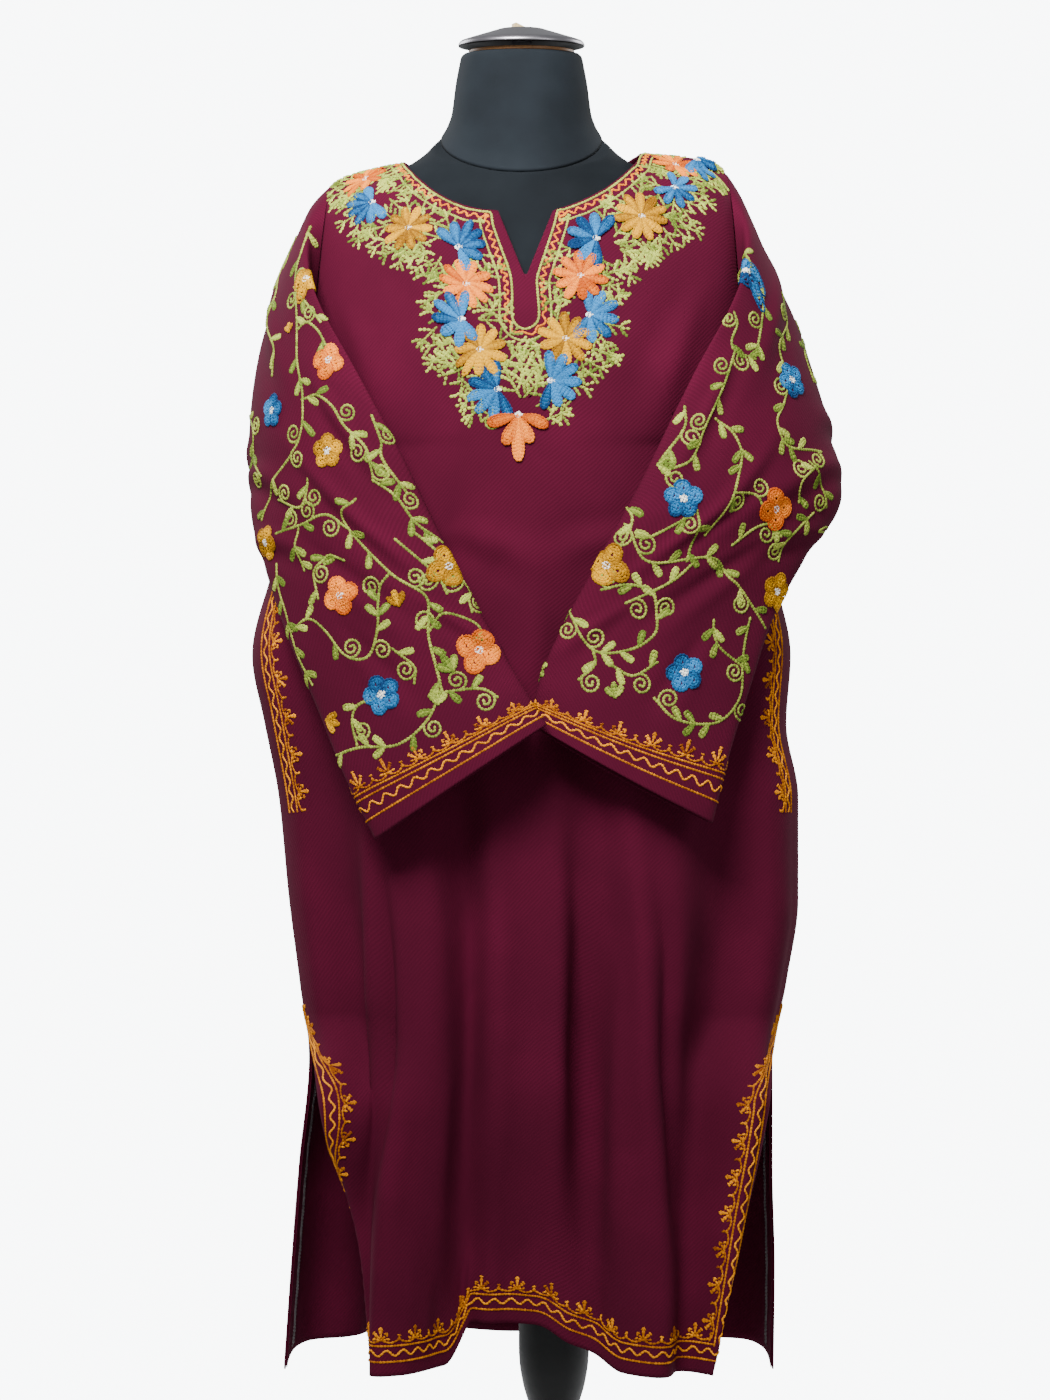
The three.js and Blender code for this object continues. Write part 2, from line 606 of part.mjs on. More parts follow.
// A closed solid through oval sections, each with its own middle, half sizes, squareness and tilt.
function loft(sections, around) {
  const positions = [];
  const index = [];
  for (const section of sections)
    for (let j = 0; j < around; j++) {
      const a = (j / around) * 2 * Math.PI;
      const power = 2 / (section.power ?? 2);
      const c = Math.sign(Math.cos(a)) * Math.abs(Math.cos(a)) ** power;
      const w = Math.sign(Math.sin(a)) * Math.abs(Math.sin(a)) ** power;
      const deep = w < 0 ? section.front : section.back;
      const tilt = THREE.MathUtils.degToRad(section.tilt ?? 0);
      const y = deep * w;
      positions.push(
        section.x + section.wide * c,
        (section.y ?? 0) + y * Math.cos(tilt),
        section.z + y * Math.sin(tilt),
      );
    }
  for (let i = 0; i < sections.length - 1; i++)
    for (let j = 0; j < around; j++) {
      const k = (j + 1) % around;
      const [a, b] = [i * around, (i + 1) * around];
      index.push(a + j, a + k, b + k, a + j, b + k, b + j);
    }
  const last = (sections.length - 1) * around;
  for (let j = 1; j < around - 1; j++) {
    index.push(0, j + 1, j);
    index.push(last, last + j, last + j + 1);
  }
  const geometry = new THREE.BufferGeometry();
  geometry.setAttribute("position", new THREE.Float32BufferAttribute(positions, 3));
  geometry.setIndex(index);
  return facingOut(geometry);
}

// The form's torso, from below the hips to inside the neck piece.
const TORSO = [
  { z: TORSO_FOOT_Z, wide: 160, front: 80, back: 80, power: 2.3 },
  { z: 768, wide: 168, front: 86, back: 86, power: 2.3 },
  { z: 860, wide: 170, front: 92, back: 89, power: 2.3 },
  { z: 940, wide: 148, front: 91, back: 86, power: 2.3 },
  { z: 1010, wide: 130, front: 88, back: 79, power: 2.3 },
  { z: 1080, wide: 143, front: 100, back: 85, power: 2.3 },
  { z: 1140, wide: 157, front: 116, back: 92, power: 2.3 },
  { z: 1190, wide: 161, front: 119, back: 96, power: 2.3 },
  { z: 1240, wide: 166, front: 111, back: 95, power: 2.2 },
  { z: 1290, wide: 171, front: 97, back: 88, power: 2.1 },
  { z: 1330, wide: 171, front: 83, back: 78, power: 1.9 },
  { z: 1356, wide: 164, front: 75, back: 69, power: 1.6 },
  { z: 1374, wide: 148, front: 71, back: 60, power: 1.35 },
  { z: 1386, wide: 121.5, front: 69, back: 56, power: 1.4 },
  { z: 1396, wide: 97.5, front: 68, back: 54, power: 1.6 },
  { z: 1408, wide: 81, front: 67, back: 53, power: 1.8 },
  { z: 1424, wide: 69, front: 66, back: 55, power: 2 },
  { z: 1458, wide: 64, front: 60, back: 58, power: 2 },
];
const NECK = [
  { z: 1418, y: 0, wide: 71, front: 80, back: 68, tilt: 30 },
  { z: 1427, y: -1, wide: 66, front: 70, back: 63, tilt: 27 },
  { z: 1440, y: -2, wide: 61.5, front: 62, back: 59, tilt: 21 },
  { z: 1465, y: -4, wide: 58, front: 56, back: 53, tilt: 13 },
  { z: 1481, y: -5, wide: 55, front: 53, back: 52, tilt: 8 },
  { z: 1489.5, y: -5, wide: 53, front: 51, back: 51, tilt: 6 },
  { z: NECK_TOP.z, y: -5, wide: 50.5, front: 49, back: 49, tilt: NECK_TOP.tilt },
];

function torso() {
  const body = loft(TORSO.map((row) => ({ ...row, x: formX(row.z) })), 24);
  const above = new THREE.BoxGeometry(400, 400, 120);
  above.translate(0, 0, 60 - SEAM);
  above.rotateX(THREE.MathUtils.degToRad(NECK[0].tilt));
  above.translate(FORM_X, 0, NECK[0].z);
  return cut(body, above);
}

const neckPiece = () => loft(NECK.map((row) => ({ ...row, x: FORM_X })), 24);

// A piece turned on the form's axis, from a profile of radius and height.
function turned(profile, around) {
  const geometry = new THREE.LatheGeometry(
    profile.map(([r, h]) => new THREE.Vector2(r, h)),
    around,
  );
  geometry.rotateX(Math.PI / 2);
  return geometry;
}

// Pieces on the neck stand on its tilted top.
function onNeck(geometry, height) {
  geometry.translate(0, 0, height);
  geometry.rotateX(THREE.MathUtils.degToRad(NECK_TOP.tilt));
  geometry.translate(FORM_X, -5, NECK_TOP.z);
  return geometry;
}

const neckPlate = () => onNeck(turned([[0, 0], [46.5, 0], [46.5, 3], [0, 3]], 24), SEAM);
function neckCap() {
  const { r, lip, height, lift } = CAP;
  const skin = 2;
  const profile = [
    [0, height], [18, height], [23, height - 1.5], [r - 8, lip + 2], [r - 2, lip], [r, lip / 2], [r, 0],
    [r - 3, 0], [r - 9, lip - 1], [22, height - 1.5 - skin], [16, height - skin], [0, height - skin],
  ];
  return onNeck(turned(profile.reverse(), 24), SEAM + 3 + lift);
}
function capStem() {
  const foot = SEAM * 2 + 3;
  const top = SEAM + 3 + CAP.lift + CAP.height - 2 - SEAM;
  return onNeck(turned([[0, foot], [9, foot], [9, top], [0, top]], 12), 0);
}
function capPeg() {
  const wedge = [[-5, 0], [5.5, 0], [5.5, 1], [-3, 4.6], [-5, 3.6]];
  const outline = new THREE.Shape(wedge.map(([x, z]) => new THREE.Vector2(x, z)));
  const geometry = new THREE.ExtrudeGeometry(outline, { depth: 7, bevelEnabled: false });
  geometry.rotateX(Math.PI / 2);
  geometry.translate(-3, 3.5, 0);
  geometry.rotateZ(0.3);
  return onNeck(geometry, SEAM * 2 + 3 + CAP.lift + CAP.height);
}

function column() {
  const top = TORSO_FOOT_Z - SEAM;
  const profile = [
    [0, COLUMN.foot], [COLUMN.tip, COLUMN.foot], [COLUMN.tip + 1, COLUMN.foot + 8], [23, 309],
    [27, 322], [30, 338], [COLUMN.r, 352], [COLUMN.r, top], [0, top],
  ];
  return turned(profile, 20);
}
const pole = () =>
  turned([[0, BASE.collar + SEAM], [POLE_R, BASE.collar + SEAM], [POLE_R, COLUMN.foot - SEAM],
    [0, COLUMN.foot - SEAM]], 16);
const base = () =>
  turned([[0, 0], [BASE.r - 4, 0], [BASE.r, 3], [BASE.r, BASE.rim], [BASE.r - 8, BASE.rim + 4],
    [60, BASE.height], [BASE.collarR + 5, BASE.height + 6], [BASE.collarR, 34],
    [BASE.collarR, BASE.collar], [0, BASE.collar]], 32);

const finish = (color, roughness, metalness = 0) =>
  new THREE.MeshStandardMaterial({ color, roughness, metalness, side: THREE.DoubleSide });
const WOOL = finish("#561a31", 0.95);
const POCKETING = finish("#4a1226", 0.95);
const COVER = finish("#2f3439", 0.9);
const STEEL = finish("#9a989c", 0.35, 0.9);
const WOOD = finish("#8a5a30", 0.6);
const ENAMEL = finish("#141416", 0.35, 0.2);

const PIECES = [
  ["front_panel", panel(-1), WOOL],
  ["back_panel", panel(1), WOOL],
  ["sleeve_right", sleeve(SLEEVE_RIGHT, "left"), WOOL],
  ["sleeve_left", sleeve(SLEEVE_LEFT, "right"), WOOL],
  ["pocket_bag_right", pocketBag("left"), POCKETING],
  ["pocket_bag_left", pocketBag("right"), POCKETING],
  ["slit_facing_right", slitFacing("left"), WOOL],
  ["slit_facing_left", slitFacing("right"), WOOL],
  ["form_torso", torso(), COVER],
  ["form_neck", neckPiece(), COVER],
  ["neck_plate", neckPlate(), WOOD],
  ["cap_stem", capStem(), STEEL],
  ["neck_cap", neckCap(), STEEL],
  ["cap_peg", capPeg(), WOOD],
  ["stand_column", column(), ENAMEL],
  ["stand_pole", pole(), ENAMEL],
  ["stand_base", base(), ENAMEL],
];

const pheran = new THREE.Group();
for (const [name, geometry, material] of PIECES) {
  const mesh = new THREE.Mesh(geometry, material);
  mesh.name = name;
  pheran.add(mesh);
}

export default pheran;
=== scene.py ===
"""A long wool pheran with yarn embroidery, worn by a limbless dress form on a round stand.

The cloth is worked out from named sizes and tables, in millimetres, and made in metres in the
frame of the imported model: +Z is up and the front faces -Y. The scene is laid out as an add-on:
one operator makes each group of like pieces, and one makes the stage.
"""

import math
import bpy
import numpy as np
from bpy.props import FloatProperty, FloatVectorProperty, IntProperty, PointerProperty
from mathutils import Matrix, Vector


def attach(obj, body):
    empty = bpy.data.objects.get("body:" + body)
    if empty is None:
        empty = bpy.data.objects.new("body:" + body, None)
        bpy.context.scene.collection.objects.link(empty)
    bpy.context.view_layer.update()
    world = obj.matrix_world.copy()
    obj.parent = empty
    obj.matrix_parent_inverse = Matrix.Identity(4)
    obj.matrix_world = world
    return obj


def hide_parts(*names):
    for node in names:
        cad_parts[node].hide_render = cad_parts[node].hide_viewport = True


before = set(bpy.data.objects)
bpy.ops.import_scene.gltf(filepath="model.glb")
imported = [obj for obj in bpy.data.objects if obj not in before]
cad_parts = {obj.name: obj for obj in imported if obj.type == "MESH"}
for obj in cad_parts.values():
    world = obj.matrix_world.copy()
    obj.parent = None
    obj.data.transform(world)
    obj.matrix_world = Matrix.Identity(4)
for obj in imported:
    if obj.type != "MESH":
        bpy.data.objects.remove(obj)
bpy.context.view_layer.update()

bl_info = {
    "name": "Pheran on a dress form",
    "version": (1, 0, 0),
    "blender": (4, 5, 0),
    "location": "3D view > Sidebar > Pheran",
    "description": "Builds an embroidered wool pheran, its dress form and a plain stage",
    "category": "Object",
}

MM = 0.001

# Driving dimensions of the garment, in millimetres
CLOTH = 1.6
SEAM = 0.3
SEAM_Y = 6
UNDERARM_Z = 1141
SLIT_TOP_Z = 652
HEM_Z = 358
BACK_HEM_Z = 351
BACK_CORNER_DROP = 16
POCKET = {"z": 922, "half": 92, "gap": 15, "deep": 0.36, "inset": 2.2}
NECK_SLIT = (-25, 1281)
FORM_X = -28.5
LEAN_FOOT_Z = 355
SHOULDER_Z = 1400

SECTION_POWER = 2 / 2.4
EDGE_TURN = (78, 90)
SLEEVE_SQUARE = 2.7
SWING = {"left": 90, "right": 58, "forward": 66, "reach": 0.84}
EDGES = {
    "flat": 0.9, "deep": 118, "quick": 0.25, "from": 0.26, "to": 0.62, "tuck": 42, "reach": 0.4,
    "right": 8,
}
FOLD_LEVELS = {"high": 880, "mid": 620, "low": HEM_Z, "none": 1130}

# s, x, z along the shoulders
SHOULDER_LINE = [
    (-1, -196, 1378), (-0.87, -173, 1388.5), (-0.62, -133, 1399), (-0.2, -60, 1414),
    (0.15, 0, 1416), (0.6, 80, 1407), (0.88, 131, 1401), (1, 152, 1388),
]
# x, lean, z, tall, deep of each armhole
ARMHOLE = {"left": (-206, 10, 1259.5, 118.5, 62), "right": (160, -8, 1264.5, 123.5, 62)}
# z, left, right of the side seams
SIDES = [
    (1141, -216, 168), (1090, -227, 180), (1030, -250, 195), (965, -265, 208), (905, -254, 204),
    (840, -242, 215), (750, -233, 215), (680, -224, 205), (610, -216, 193), (515, -225, 193),
    (425, -232, 195), (340, -238, 194),
]
# drop, front, back
DEPTHS = [
    (0, 6, 6), (2, -12, 22), (6, -27, 36), (14, -42, 50), (28, -59, 64), (45, -72, 76),
    (70, -86, 88), (110, -103, 99), (160, -119, 105), (215, -129, 107), (290, -131, 107),
    (400, -126, 108), (600, -119, 110), (1080, -112, 112),
]
# s, lift of the front hem
HEM_LIFT = [
    (-1, 0), (-0.19, 0), (-0.13, 36), (0, 36), (0.065, 22), (0.12, 14), (0.17, 2), (0.3, 0), (1, 0),
]
# at, reach, high, mid, low, side of each fold
FRONT_FOLDS = [
    (-0.33, 0.2, 7, 20, 26, -9), (-0.16, 0.1, -5, -17, -34, 4), (-0.04, 0.13, 0, -3, -30, 0),
    (0.095, 0.1, -7, -16, -12, 0), (0.24, 0.16, 7, 20, 28, 8), (-0.54, 0.2, -9, -20, 4, 0),
    (0.46, 0.18, -9, -20, -6, 0), (0.68, 0.16, 3, 8, 2, 0),
]
BACK_FOLDS = [
    (-0.55, 0.2, -4, -11, -14, 0), (-0.3, 0.2, 5, 14, 20, -6), (-0.02, 0.18, -5, -14, -20, 0),
    (0.27, 0.2, 5, 14, 20, 6), (0.54, 0.2, -4, -11, -14, 0),
]
# Each sleeve section's outer fold, front layer, inner fold and back layer, armhole to cuff
SLEEVE_RIGHT = [
    ((-224, 60, 1286), (-213, -27, 1351), (-211, -67, 1206), (-230, 29, 1142)),
    ((-238, 48, 1246), (-221, -53, 1320), (-203, -86, 1193), (-236, 12, 1122)),
    ((-244, 28, 1204), (-221, -82, 1286), (-187, -102, 1170), (-237, -14, 1100)),
    ((-252, 4, 1162), (-212, -110, 1240), (-162, -118, 1136), (-230, -46, 1078)),
    ((-259, -20, 1118), (-200, -134, 1172), (-127, -134, 1094), (-213, -85, 1060)),
    ((-260, -44, 1076), (-178, -149, 1094), (-95, -146, 1050), (-189, -112, 1038)),
    ((-243, -76, 1025), (-158, -156, 1036), (-71, -152, 1010), (-163, -125, 1008)),
    ((-222, -102, 970), (-140, -162, 982), (-53, -156, 980), (-138, -136, 968)),
    ((-198, -120, 915), (-118, -168, 934), (-37, -160, 953), (-116, -144, 926)),
    ((-176, -134, 862), (-100, -174, 896), (-22, -166, 928), (-98, -151, 888)),
    ((-150, -146, 809), (-79, -180, 858), (-7, -170, 905), (-79, -160, 856)),
]
SLEEVE_LEFT = [
    ((176, 60, 1291), (165, -27, 1358), (165, -66, 1209), (185, 29, 1144)),
    ((190, 46, 1252), (174, -52, 1326), (157, -84, 1196), (199, 14, 1124)),
    ((203, 22, 1212), (174, -80, 1290), (141, -100, 1172), (203, -14, 1104)),
    ((221, -4, 1174), (166, -106, 1242), (116, -116, 1138), (195, -52, 1086)),
    ((239, -28, 1136), (153, -131, 1172), (82, -132, 1096), (175, -86, 1072)),
    ((247, -48, 1094), (138, -146, 1098), (48, -142, 1056), (148, -110, 1052)),
    ((217, -72, 1050), (118, -148, 1048), (27, -144, 1024), (122, -124, 1028)),
    ((185, -96, 994), (96, -150, 996), (9, -144, 992), (94, -130, 984)),
    ((165, -114, 938), (78, -154, 948), (-6, -144, 960), (78, -134, 940)),
    ((146, -126, 880), (64, -158, 902), (-17, -145, 928), (62, -136, 894)),
    ((131, -136, 822), (56, -163, 862), (-18, -148, 903), (56, -140, 858)),
]
RING = 22
FOLD_START = 18


def smooth_table(rows):
    """Rows of (key, value, ...) as a smooth function of the key that never overshoots."""
    data = np.array(sorted(rows), float)
    key, values = data[:, 0], data[:, 1:]
    step = np.diff(values, axis=0) / np.diff(key)[:, None]
    before, after = step[:-1], step[1:]
    same = before * after > 0
    inner = np.where(same, 2 * before * after / np.where(same, before + after, 1), 0)
    slope = np.vstack([step[:1], inner, step[-1:]])

    def at(x):
        x = np.clip(np.asarray(x, float), key[0], key[-1])
        i = np.clip(np.searchsorted(key, x) - 1, 0, len(key) - 2)
        width = (key[i + 1] - key[i])[..., None]
        f = (x - key[i])[..., None] / width
        rise = values[i + 1] - values[i]
        m0, m1 = slope[i] * width, slope[i + 1] * width
        return values[i] + m0 * f + (3 * rise - 2 * m0 - m1) * f**2 + (m0 + m1 - 2 * rise) * f**3

    return at


def mix(a, b, f):
    return a + (b - a) * f


def bump(x):
    return np.cos(np.clip(x, -1, 1) * np.pi / 2) ** 2


def ease(x):
    f = np.clip(x, 0, 1)
    return f * f * (3 - 2 * f)


def form_x(z):
    return FORM_X * np.clip(z - LEAN_FOOT_Z, 0, 2000) / (SHOULDER_Z - LEAN_FOOT_Z)


shoulder_at = smooth_table(SHOULDER_LINE)
sides_at = smooth_table(SIDES)
depths_at = smooth_table(DEPTHS)
hem_lift_at = smooth_table(HEM_LIFT)


def seam_x(side, z):
    x, lean, middle, tall, _ = ARMHOLE[side]
    c = np.clip((z - middle) / tall, -1, 1)
    below = sides_at(z)[..., 0 if side == "left" else 1]
    return np.where(z <= middle - tall, below, x + lean * c)


def seam_depth(side, z, facing):
    _, _, middle, tall, deep = ARMHOLE[side]
    c = np.clip((z - middle) / tall, -1, 1)
    mouth = POCKET["gap"] / 2 * bump((z - POCKET["z"]) / POCKET["half"])
    return SEAM_Y + facing * (np.maximum(deep * np.sqrt(1 - c * c), mouth) + SEAM / 2)


def fold_height(fold, z):
    _, _, high, mid, low, _ = fold
    level = FOLD_LEVELS
    upper = high * ease((level["none"] - z) / (level["none"] - level["high"]))
    middle = mix(high, mid, ease((level["high"] - z) / (level["high"] - level["mid"])))
    lower = mix(mid, low, ease((level["mid"] - z) / (level["mid"] - level["low"])))
    return np.where(z > level["high"], upper, np.where(z > level["mid"], middle, lower))


def plan(s, z, drop, facing):
    """The body's plan at one height, without folds; facing is -1 for the front, 1 for the back."""
    left, right = seam_x("left", z), seam_x("right", z)
    below = ease((UNDERARM_Z + 10 - z) / 120)
    full = np.radians(mix(EDGE_TURN[0], EDGE_TURN[1], below))
    turn = np.abs(s) * full
    rest = np.maximum(np.cos(full), 0) ** SECTION_POWER
    across = (np.sin(turn) / np.sin(full)) ** SECTION_POWER
    out = (np.maximum(np.cos(turn), 0) ** SECTION_POWER - rest) / (1 - rest)
    edge = np.where(s < 0, seam_depth("left", z, facing), seam_depth("right", z, facing))
    reach = depths_at(drop)[..., 0 if facing < 0 else 1]
    return mix((left + right) / 2, np.where(s < 0, left, right), across), mix(edge, reach, out)


def hem_height(s, facing):
    if facing < 0:
        return HEM_Z + hem_lift_at(s)[..., 0]
    return BACK_HEM_Z - BACK_CORNER_DROP * np.abs(s) ** 8


def body_point(s, t, facing):
    """A point of the front or back panel: s runs from the left seam (-1) to the right (1), t from
    the shoulder (0) to the hem (1)."""
    s, t = np.broadcast_arrays(np.asarray(s, float), np.asarray(t, float))
    top = shoulder_at(s)
    z = mix(top[..., 1], hem_height(s, facing), t)
    drop = top[..., 1] - z
    bx, y = plan(s, z, drop, facing)
    x = mix(top[..., 0], bx, np.maximum(ease(drop / 40), np.abs(s) ** 8))
    x0, y0 = plan(np.maximum(s - 0.01, -1), z, drop, facing)
    x1, y1 = plan(np.minimum(s + 0.01, 1), z, drop, facing)
    length = np.maximum(np.hypot(x1 - x0, y1 - y0), 1e-9)
    nx, ny = -(y1 - y0) / length * facing, (x1 - x0) / length * facing
    out, side = np.zeros_like(z), np.zeros_like(z)
    for fold in FRONT_FOLDS if facing < 0 else BACK_FOLDS:
        share = bump((s - fold[0]) / fold[1])
        out = out + share * fold_height(fold, z)
        side = side + share * fold[5] * ease((SLIT_TOP_Z - z) / (SLIT_TOP_Z - HEM_Z))
    x, y = x + nx * out + side, y + ny * out
    if facing < 0:
        q = np.maximum((SLIT_TOP_Z - z) / (SLIT_TOP_Z - HEM_Z), 0)
        share = bump((1 - np.abs(s)) / SWING["reach"])
        x = x + share * np.where(s < 0, SWING["left"], -SWING["right"]) * q**1.15
        y = y - share * SWING["forward"] * q**0.75
        turned = 1 - np.maximum(np.cos(np.abs(s) * np.pi / 2), 0) ** SECTION_POWER
        kept = 1 - ease((q - EDGES["from"]) / (EDGES["to"] - EDGES["from"]))
        deep = EDGES["deep"] - SWING["forward"] * q**0.75
        y = y - turned * EDGES["flat"] * ease(q / EDGES["quick"]) * np.where(s < 0, kept, 1) * deep
        near = bump((1 - np.abs(s)) / EDGES["reach"]) * ease((q - 0.3) / 0.7)
        x = x + near * np.where(s < 0, EDGES["tuck"], -EDGES["right"])
    return np.stack([x, y, z], -1)


def armhole_row(side):
    x, lean, z, tall, deep = ARMHOLE[side]
    x += -SEAM if side == "left" else SEAM
    row = []
    for quarter in range(4):
        angle = FOLD_START / RING * 2 * math.pi + quarter * math.pi / 2
        c = math.cos(angle)
        row.append((x + lean * c, SEAM_Y - deep * math.sin(angle), z + tall * c))
    return tuple(row)


def track(rows, place):
    """Catmull-Rom through the rows' named points, at any place between them."""
    i = np.minimum(np.floor(place).astype(int), len(rows) - 2)
    f = (place - i)[..., None, None]
    a, b, c, d = (rows[np.clip(i + n, 0, len(rows) - 1)] for n in (-1, 0, 1, 2))
    m0, m1, rise = (c - a) / 2, (d - b) / 2, c - b
    return b + m0 * f + (3 * rise - 2 * m0 - m1) * f**2 + (m0 + m1 - 2 * rise) * f**3


def unit(v):
    return v / np.maximum(np.linalg.norm(v, axis=-1, keepdims=True), 1e-12)


def sleeve_point(rows, turn, place):
    """A point of a sleeve: turn runs once round from the outer fold over the front layer."""
    found = track(rows, place)
    outer, fore, inner, back = (found[..., k, :] for k in range(4))
    middle, half = (outer + inner) / 2, (outer - inner) / 2
    bow, thick = (fore + back) / 2 - middle, (fore - back) / 2
    axis = unit(np.cross(half, thick))
    deep = np.abs(np.sum(thick * unit(np.cross(axis, half)), -1))[..., None]
    power = 2 / mix(2, SLEEVE_SQUARE, ease(place / 5))
    c = (np.sign(np.cos(turn)) * np.abs(np.cos(turn)) ** power)[..., None]
    w = (np.sign(np.sin(turn)) * np.abs(np.sin(turn)) ** power)[..., None]
    out = unit(np.cross(axis, half - 2 * c * bow)) * deep
    layer = mix(thick, out, ease(place / 3)[..., None])
    return middle + half * c + bow * (1 - c * c) + layer * w


def grid_normals(grid, closed, way):
    """Normals of a grid of points; way turns them to face outwards."""
    across = np.gradient(grid, axis=1)
    if closed:
        across[:, 0] = across[:, -1] = (grid[:, 1] - grid[:, -2]) / 2
    return unit(np.cross(across, np.gradient(grid, axis=0))) * way


def crease_lift(u, v, rows):
    """How far soft ridges, and troughs where the depth is negative, lift the cloth."""
    lift = np.zeros_like(u)
    for at_u, at_v, length, angle, depth, width, bend in rows:
        c, s = math.cos(math.radians(angle)), math.sin(math.radians(angle))
        along = ((u - at_u) * c + (v - at_v) * s) / (length / 2)
        across = -(u - at_u) * s + (v - at_v) * c - bend * along**2
        width = width * (1 + 0.35 * np.clip(along, -1, 1))
        ridge = np.exp(-((across / width) ** 2))
        trough = np.exp(-(((across - 1.9 * width) / width) ** 2))
        lift += depth * bump(along) * (ridge - 0.55 * trough)
    return lift


class Surface:
    """A cloth surface as a dense grid: columns spaced evenly across, rows down from the top, each
    with its flat place u, v in millimetres. u starts at the middle, or at the fold of a tube."""

    def __init__(self, point, columns, rows, closed, way, spine):
        self.closed, self.columns, self.rows = closed, columns, rows
        fine = np.linspace(0, 1, 6 * columns + 1)
        down = np.linspace(0, 1, rows + 1)
        raw = point(*np.meshgrid(fine, down))
        arc = np.cumsum(np.linalg.norm(np.diff(raw, axis=1), axis=2), axis=1)
        arc = np.hstack([np.zeros((rows + 1, 1)), arc])
        self.width = arc[:, -1]
        even = np.linspace(0, 1, columns + 1)
        place = np.array([np.interp(even * arc[i, -1], arc[i], fine) for i in range(rows + 1)])
        self.points = point(place, np.repeat(down[:, None], columns + 1, 1))
        share = np.array([np.interp(spine, fine, arc[i]) for i in range(rows + 1)]) / self.width
        self.middle = np.zeros(rows + 1) if closed else share
        line = np.array([raw[i, int(spine * 6 * columns)] for i in range(rows + 1)])
        self.down = np.concatenate([[0], np.cumsum(np.linalg.norm(np.diff(line, axis=0), axis=1))])
        self.u = (even[None, :] - self.middle[:, None]) * self.width[:, None]
        self.v = np.repeat(self.down[:, None], columns + 1, 1)
        self.way = way
        self.normals = grid_normals(self.points, closed, way)

    def raise_by(self, lift):
        """Moves the surface out along its normals."""
        self.points = self.points + self.normals * lift[..., None]
        self.normals = grid_normals(self.points, self.closed, self.way)

    def sample(self, grid, a, b):
        """A grid's value at the share a across and b down."""
        x = (np.mod(a, 1) if self.closed else np.clip(a, 0, 1)) * self.columns
        y = np.clip(b, 0, 1) * self.rows
        j = np.minimum(x.astype(int), self.columns - 1)
        i = np.minimum(y.astype(int), self.rows - 1)
        f, g = (x - j)[..., None], (y - i)[..., None]
        if grid.ndim == 2:
            f, g = f[..., 0], g[..., 0]
        top = mix(grid[i, j], grid[i, j + 1], f)
        return mix(top, mix(grid[i + 1, j], grid[i + 1, j + 1], f), g)

    def place(self, u, v):
        """The shares across and down of a flat place."""
        b = np.interp(v, self.down, np.linspace(0, 1, self.rows + 1))
        row = b * self.rows
        index = np.arange(self.rows + 1)
        a = np.interp(row, index, self.middle) + u / np.interp(row, index, self.width)
        return a, b

    def at(self, flat):
        """The points and normals at flat places, an array of (u, v)."""
        a, b = self.place(flat[..., 0], flat[..., 1])
        return self.sample(self.points, a, b), unit(self.sample(self.normals, a, b))


def panel_surface(facing, columns, rows):
    def point(a, b):
        return body_point(2 * a - 1, b, facing)

    return Surface(point, columns, rows, False, facing, 0.5)


def sleeve_surface(rows, side, columns=120, down=160):
    every = np.array([armhole_row(side), *rows], float)

    def point(a, b):
        return sleeve_point(every, a * 2 * np.pi, b * (len(every) - 1))

    return Surface(point, columns, down, True, -1 if side == "left" else 1, 0.25)


# Materials

def to_linear(code):
    """The linear colour, with alpha, of an sRGB code such as 5B1E35."""
    channels = [int(code[i : i + 2], 16) / 255 for i in (0, 2, 4)]
    return [c / 12.92 if c <= 0.04045 else ((c + 0.055) / 1.055) ** 2.4 for c in channels] + [1.0]


def tinted(colour, share):
    """A linear colour made darker or paler, with alpha."""
    return [min(c * share, 1) for c in list(colour)[:3]] + [1.0]


def add_node(tree, kind, inputs=None, **options):
    """Adds a node; inputs are values or the output sockets that feed them."""
    node = tree.nodes.new(kind)
    for name, value in options.items():
        setattr(node, name, value)
    for name, value in (inputs or {}).items():
        if isinstance(value, bpy.types.NodeSocket):
            tree.links.new(value, node.inputs[name])
        else:
            node.inputs[name].default_value = value
    return node


def ramp(tree, factor, stops):
    """A colour ramp through (place, colour) stops; a colour is an sRGB code or linear values."""
    node = add_node(tree, "ShaderNodeValToRGB", {"Fac": factor})
    elements = node.color_ramp.elements
    while len(elements) < len(stops):
        elements.new(0.5)
    for element, (place, code) in zip(elements, stops):
        element.position = place
        element.color = to_linear(code) if isinstance(code, str) else code
    return node.outputs["Color"]


def shade(tree, a, b, factor, kind="MIX"):
    """Two colours mixed."""
    node = add_node(tree, "ShaderNodeMix", {"Factor": factor}, data_type="RGBA", blend_type=kind)
    for socket, value in ((node.inputs[6], a), (node.inputs[7], b)):
        if isinstance(value, bpy.types.NodeSocket):
            tree.links.new(value, socket)
        else:
            socket.default_value = value
    return node.outputs[2]


def compute(tree, kind, *values):
    """A maths node's output."""
    node = add_node(tree, "ShaderNodeMath", dict(enumerate(values)), operation=kind)
    return node.outputs[0]


def noise(tree, place, scale, detail):
    """A noise texture's factor at a place."""
    node = add_node(
        tree, "ShaderNodeTexNoise", {"Vector": place, "Scale": scale, "Detail": detail}
    )
    return node.outputs["Fac"]


def bumped_normal(tree, height, strength, distance):
    node = add_node(
        tree, "ShaderNodeBump", {"Height": height, "Strength": strength, "Distance": distance}
    )
    return node.outputs[0]


def new_material(name):
    """An empty material: its node tree and its surface shader."""
    material = bpy.data.materials.new(name)
    material.use_nodes = True
    tree = material.node_tree
    tree.nodes.clear()
    shader = add_node(tree, "ShaderNodeBsdfPrincipled")
    output = add_node(tree, "ShaderNodeOutputMaterial")
    tree.links.new(shader.outputs[0], output.inputs[0])
    return material, tree, shader


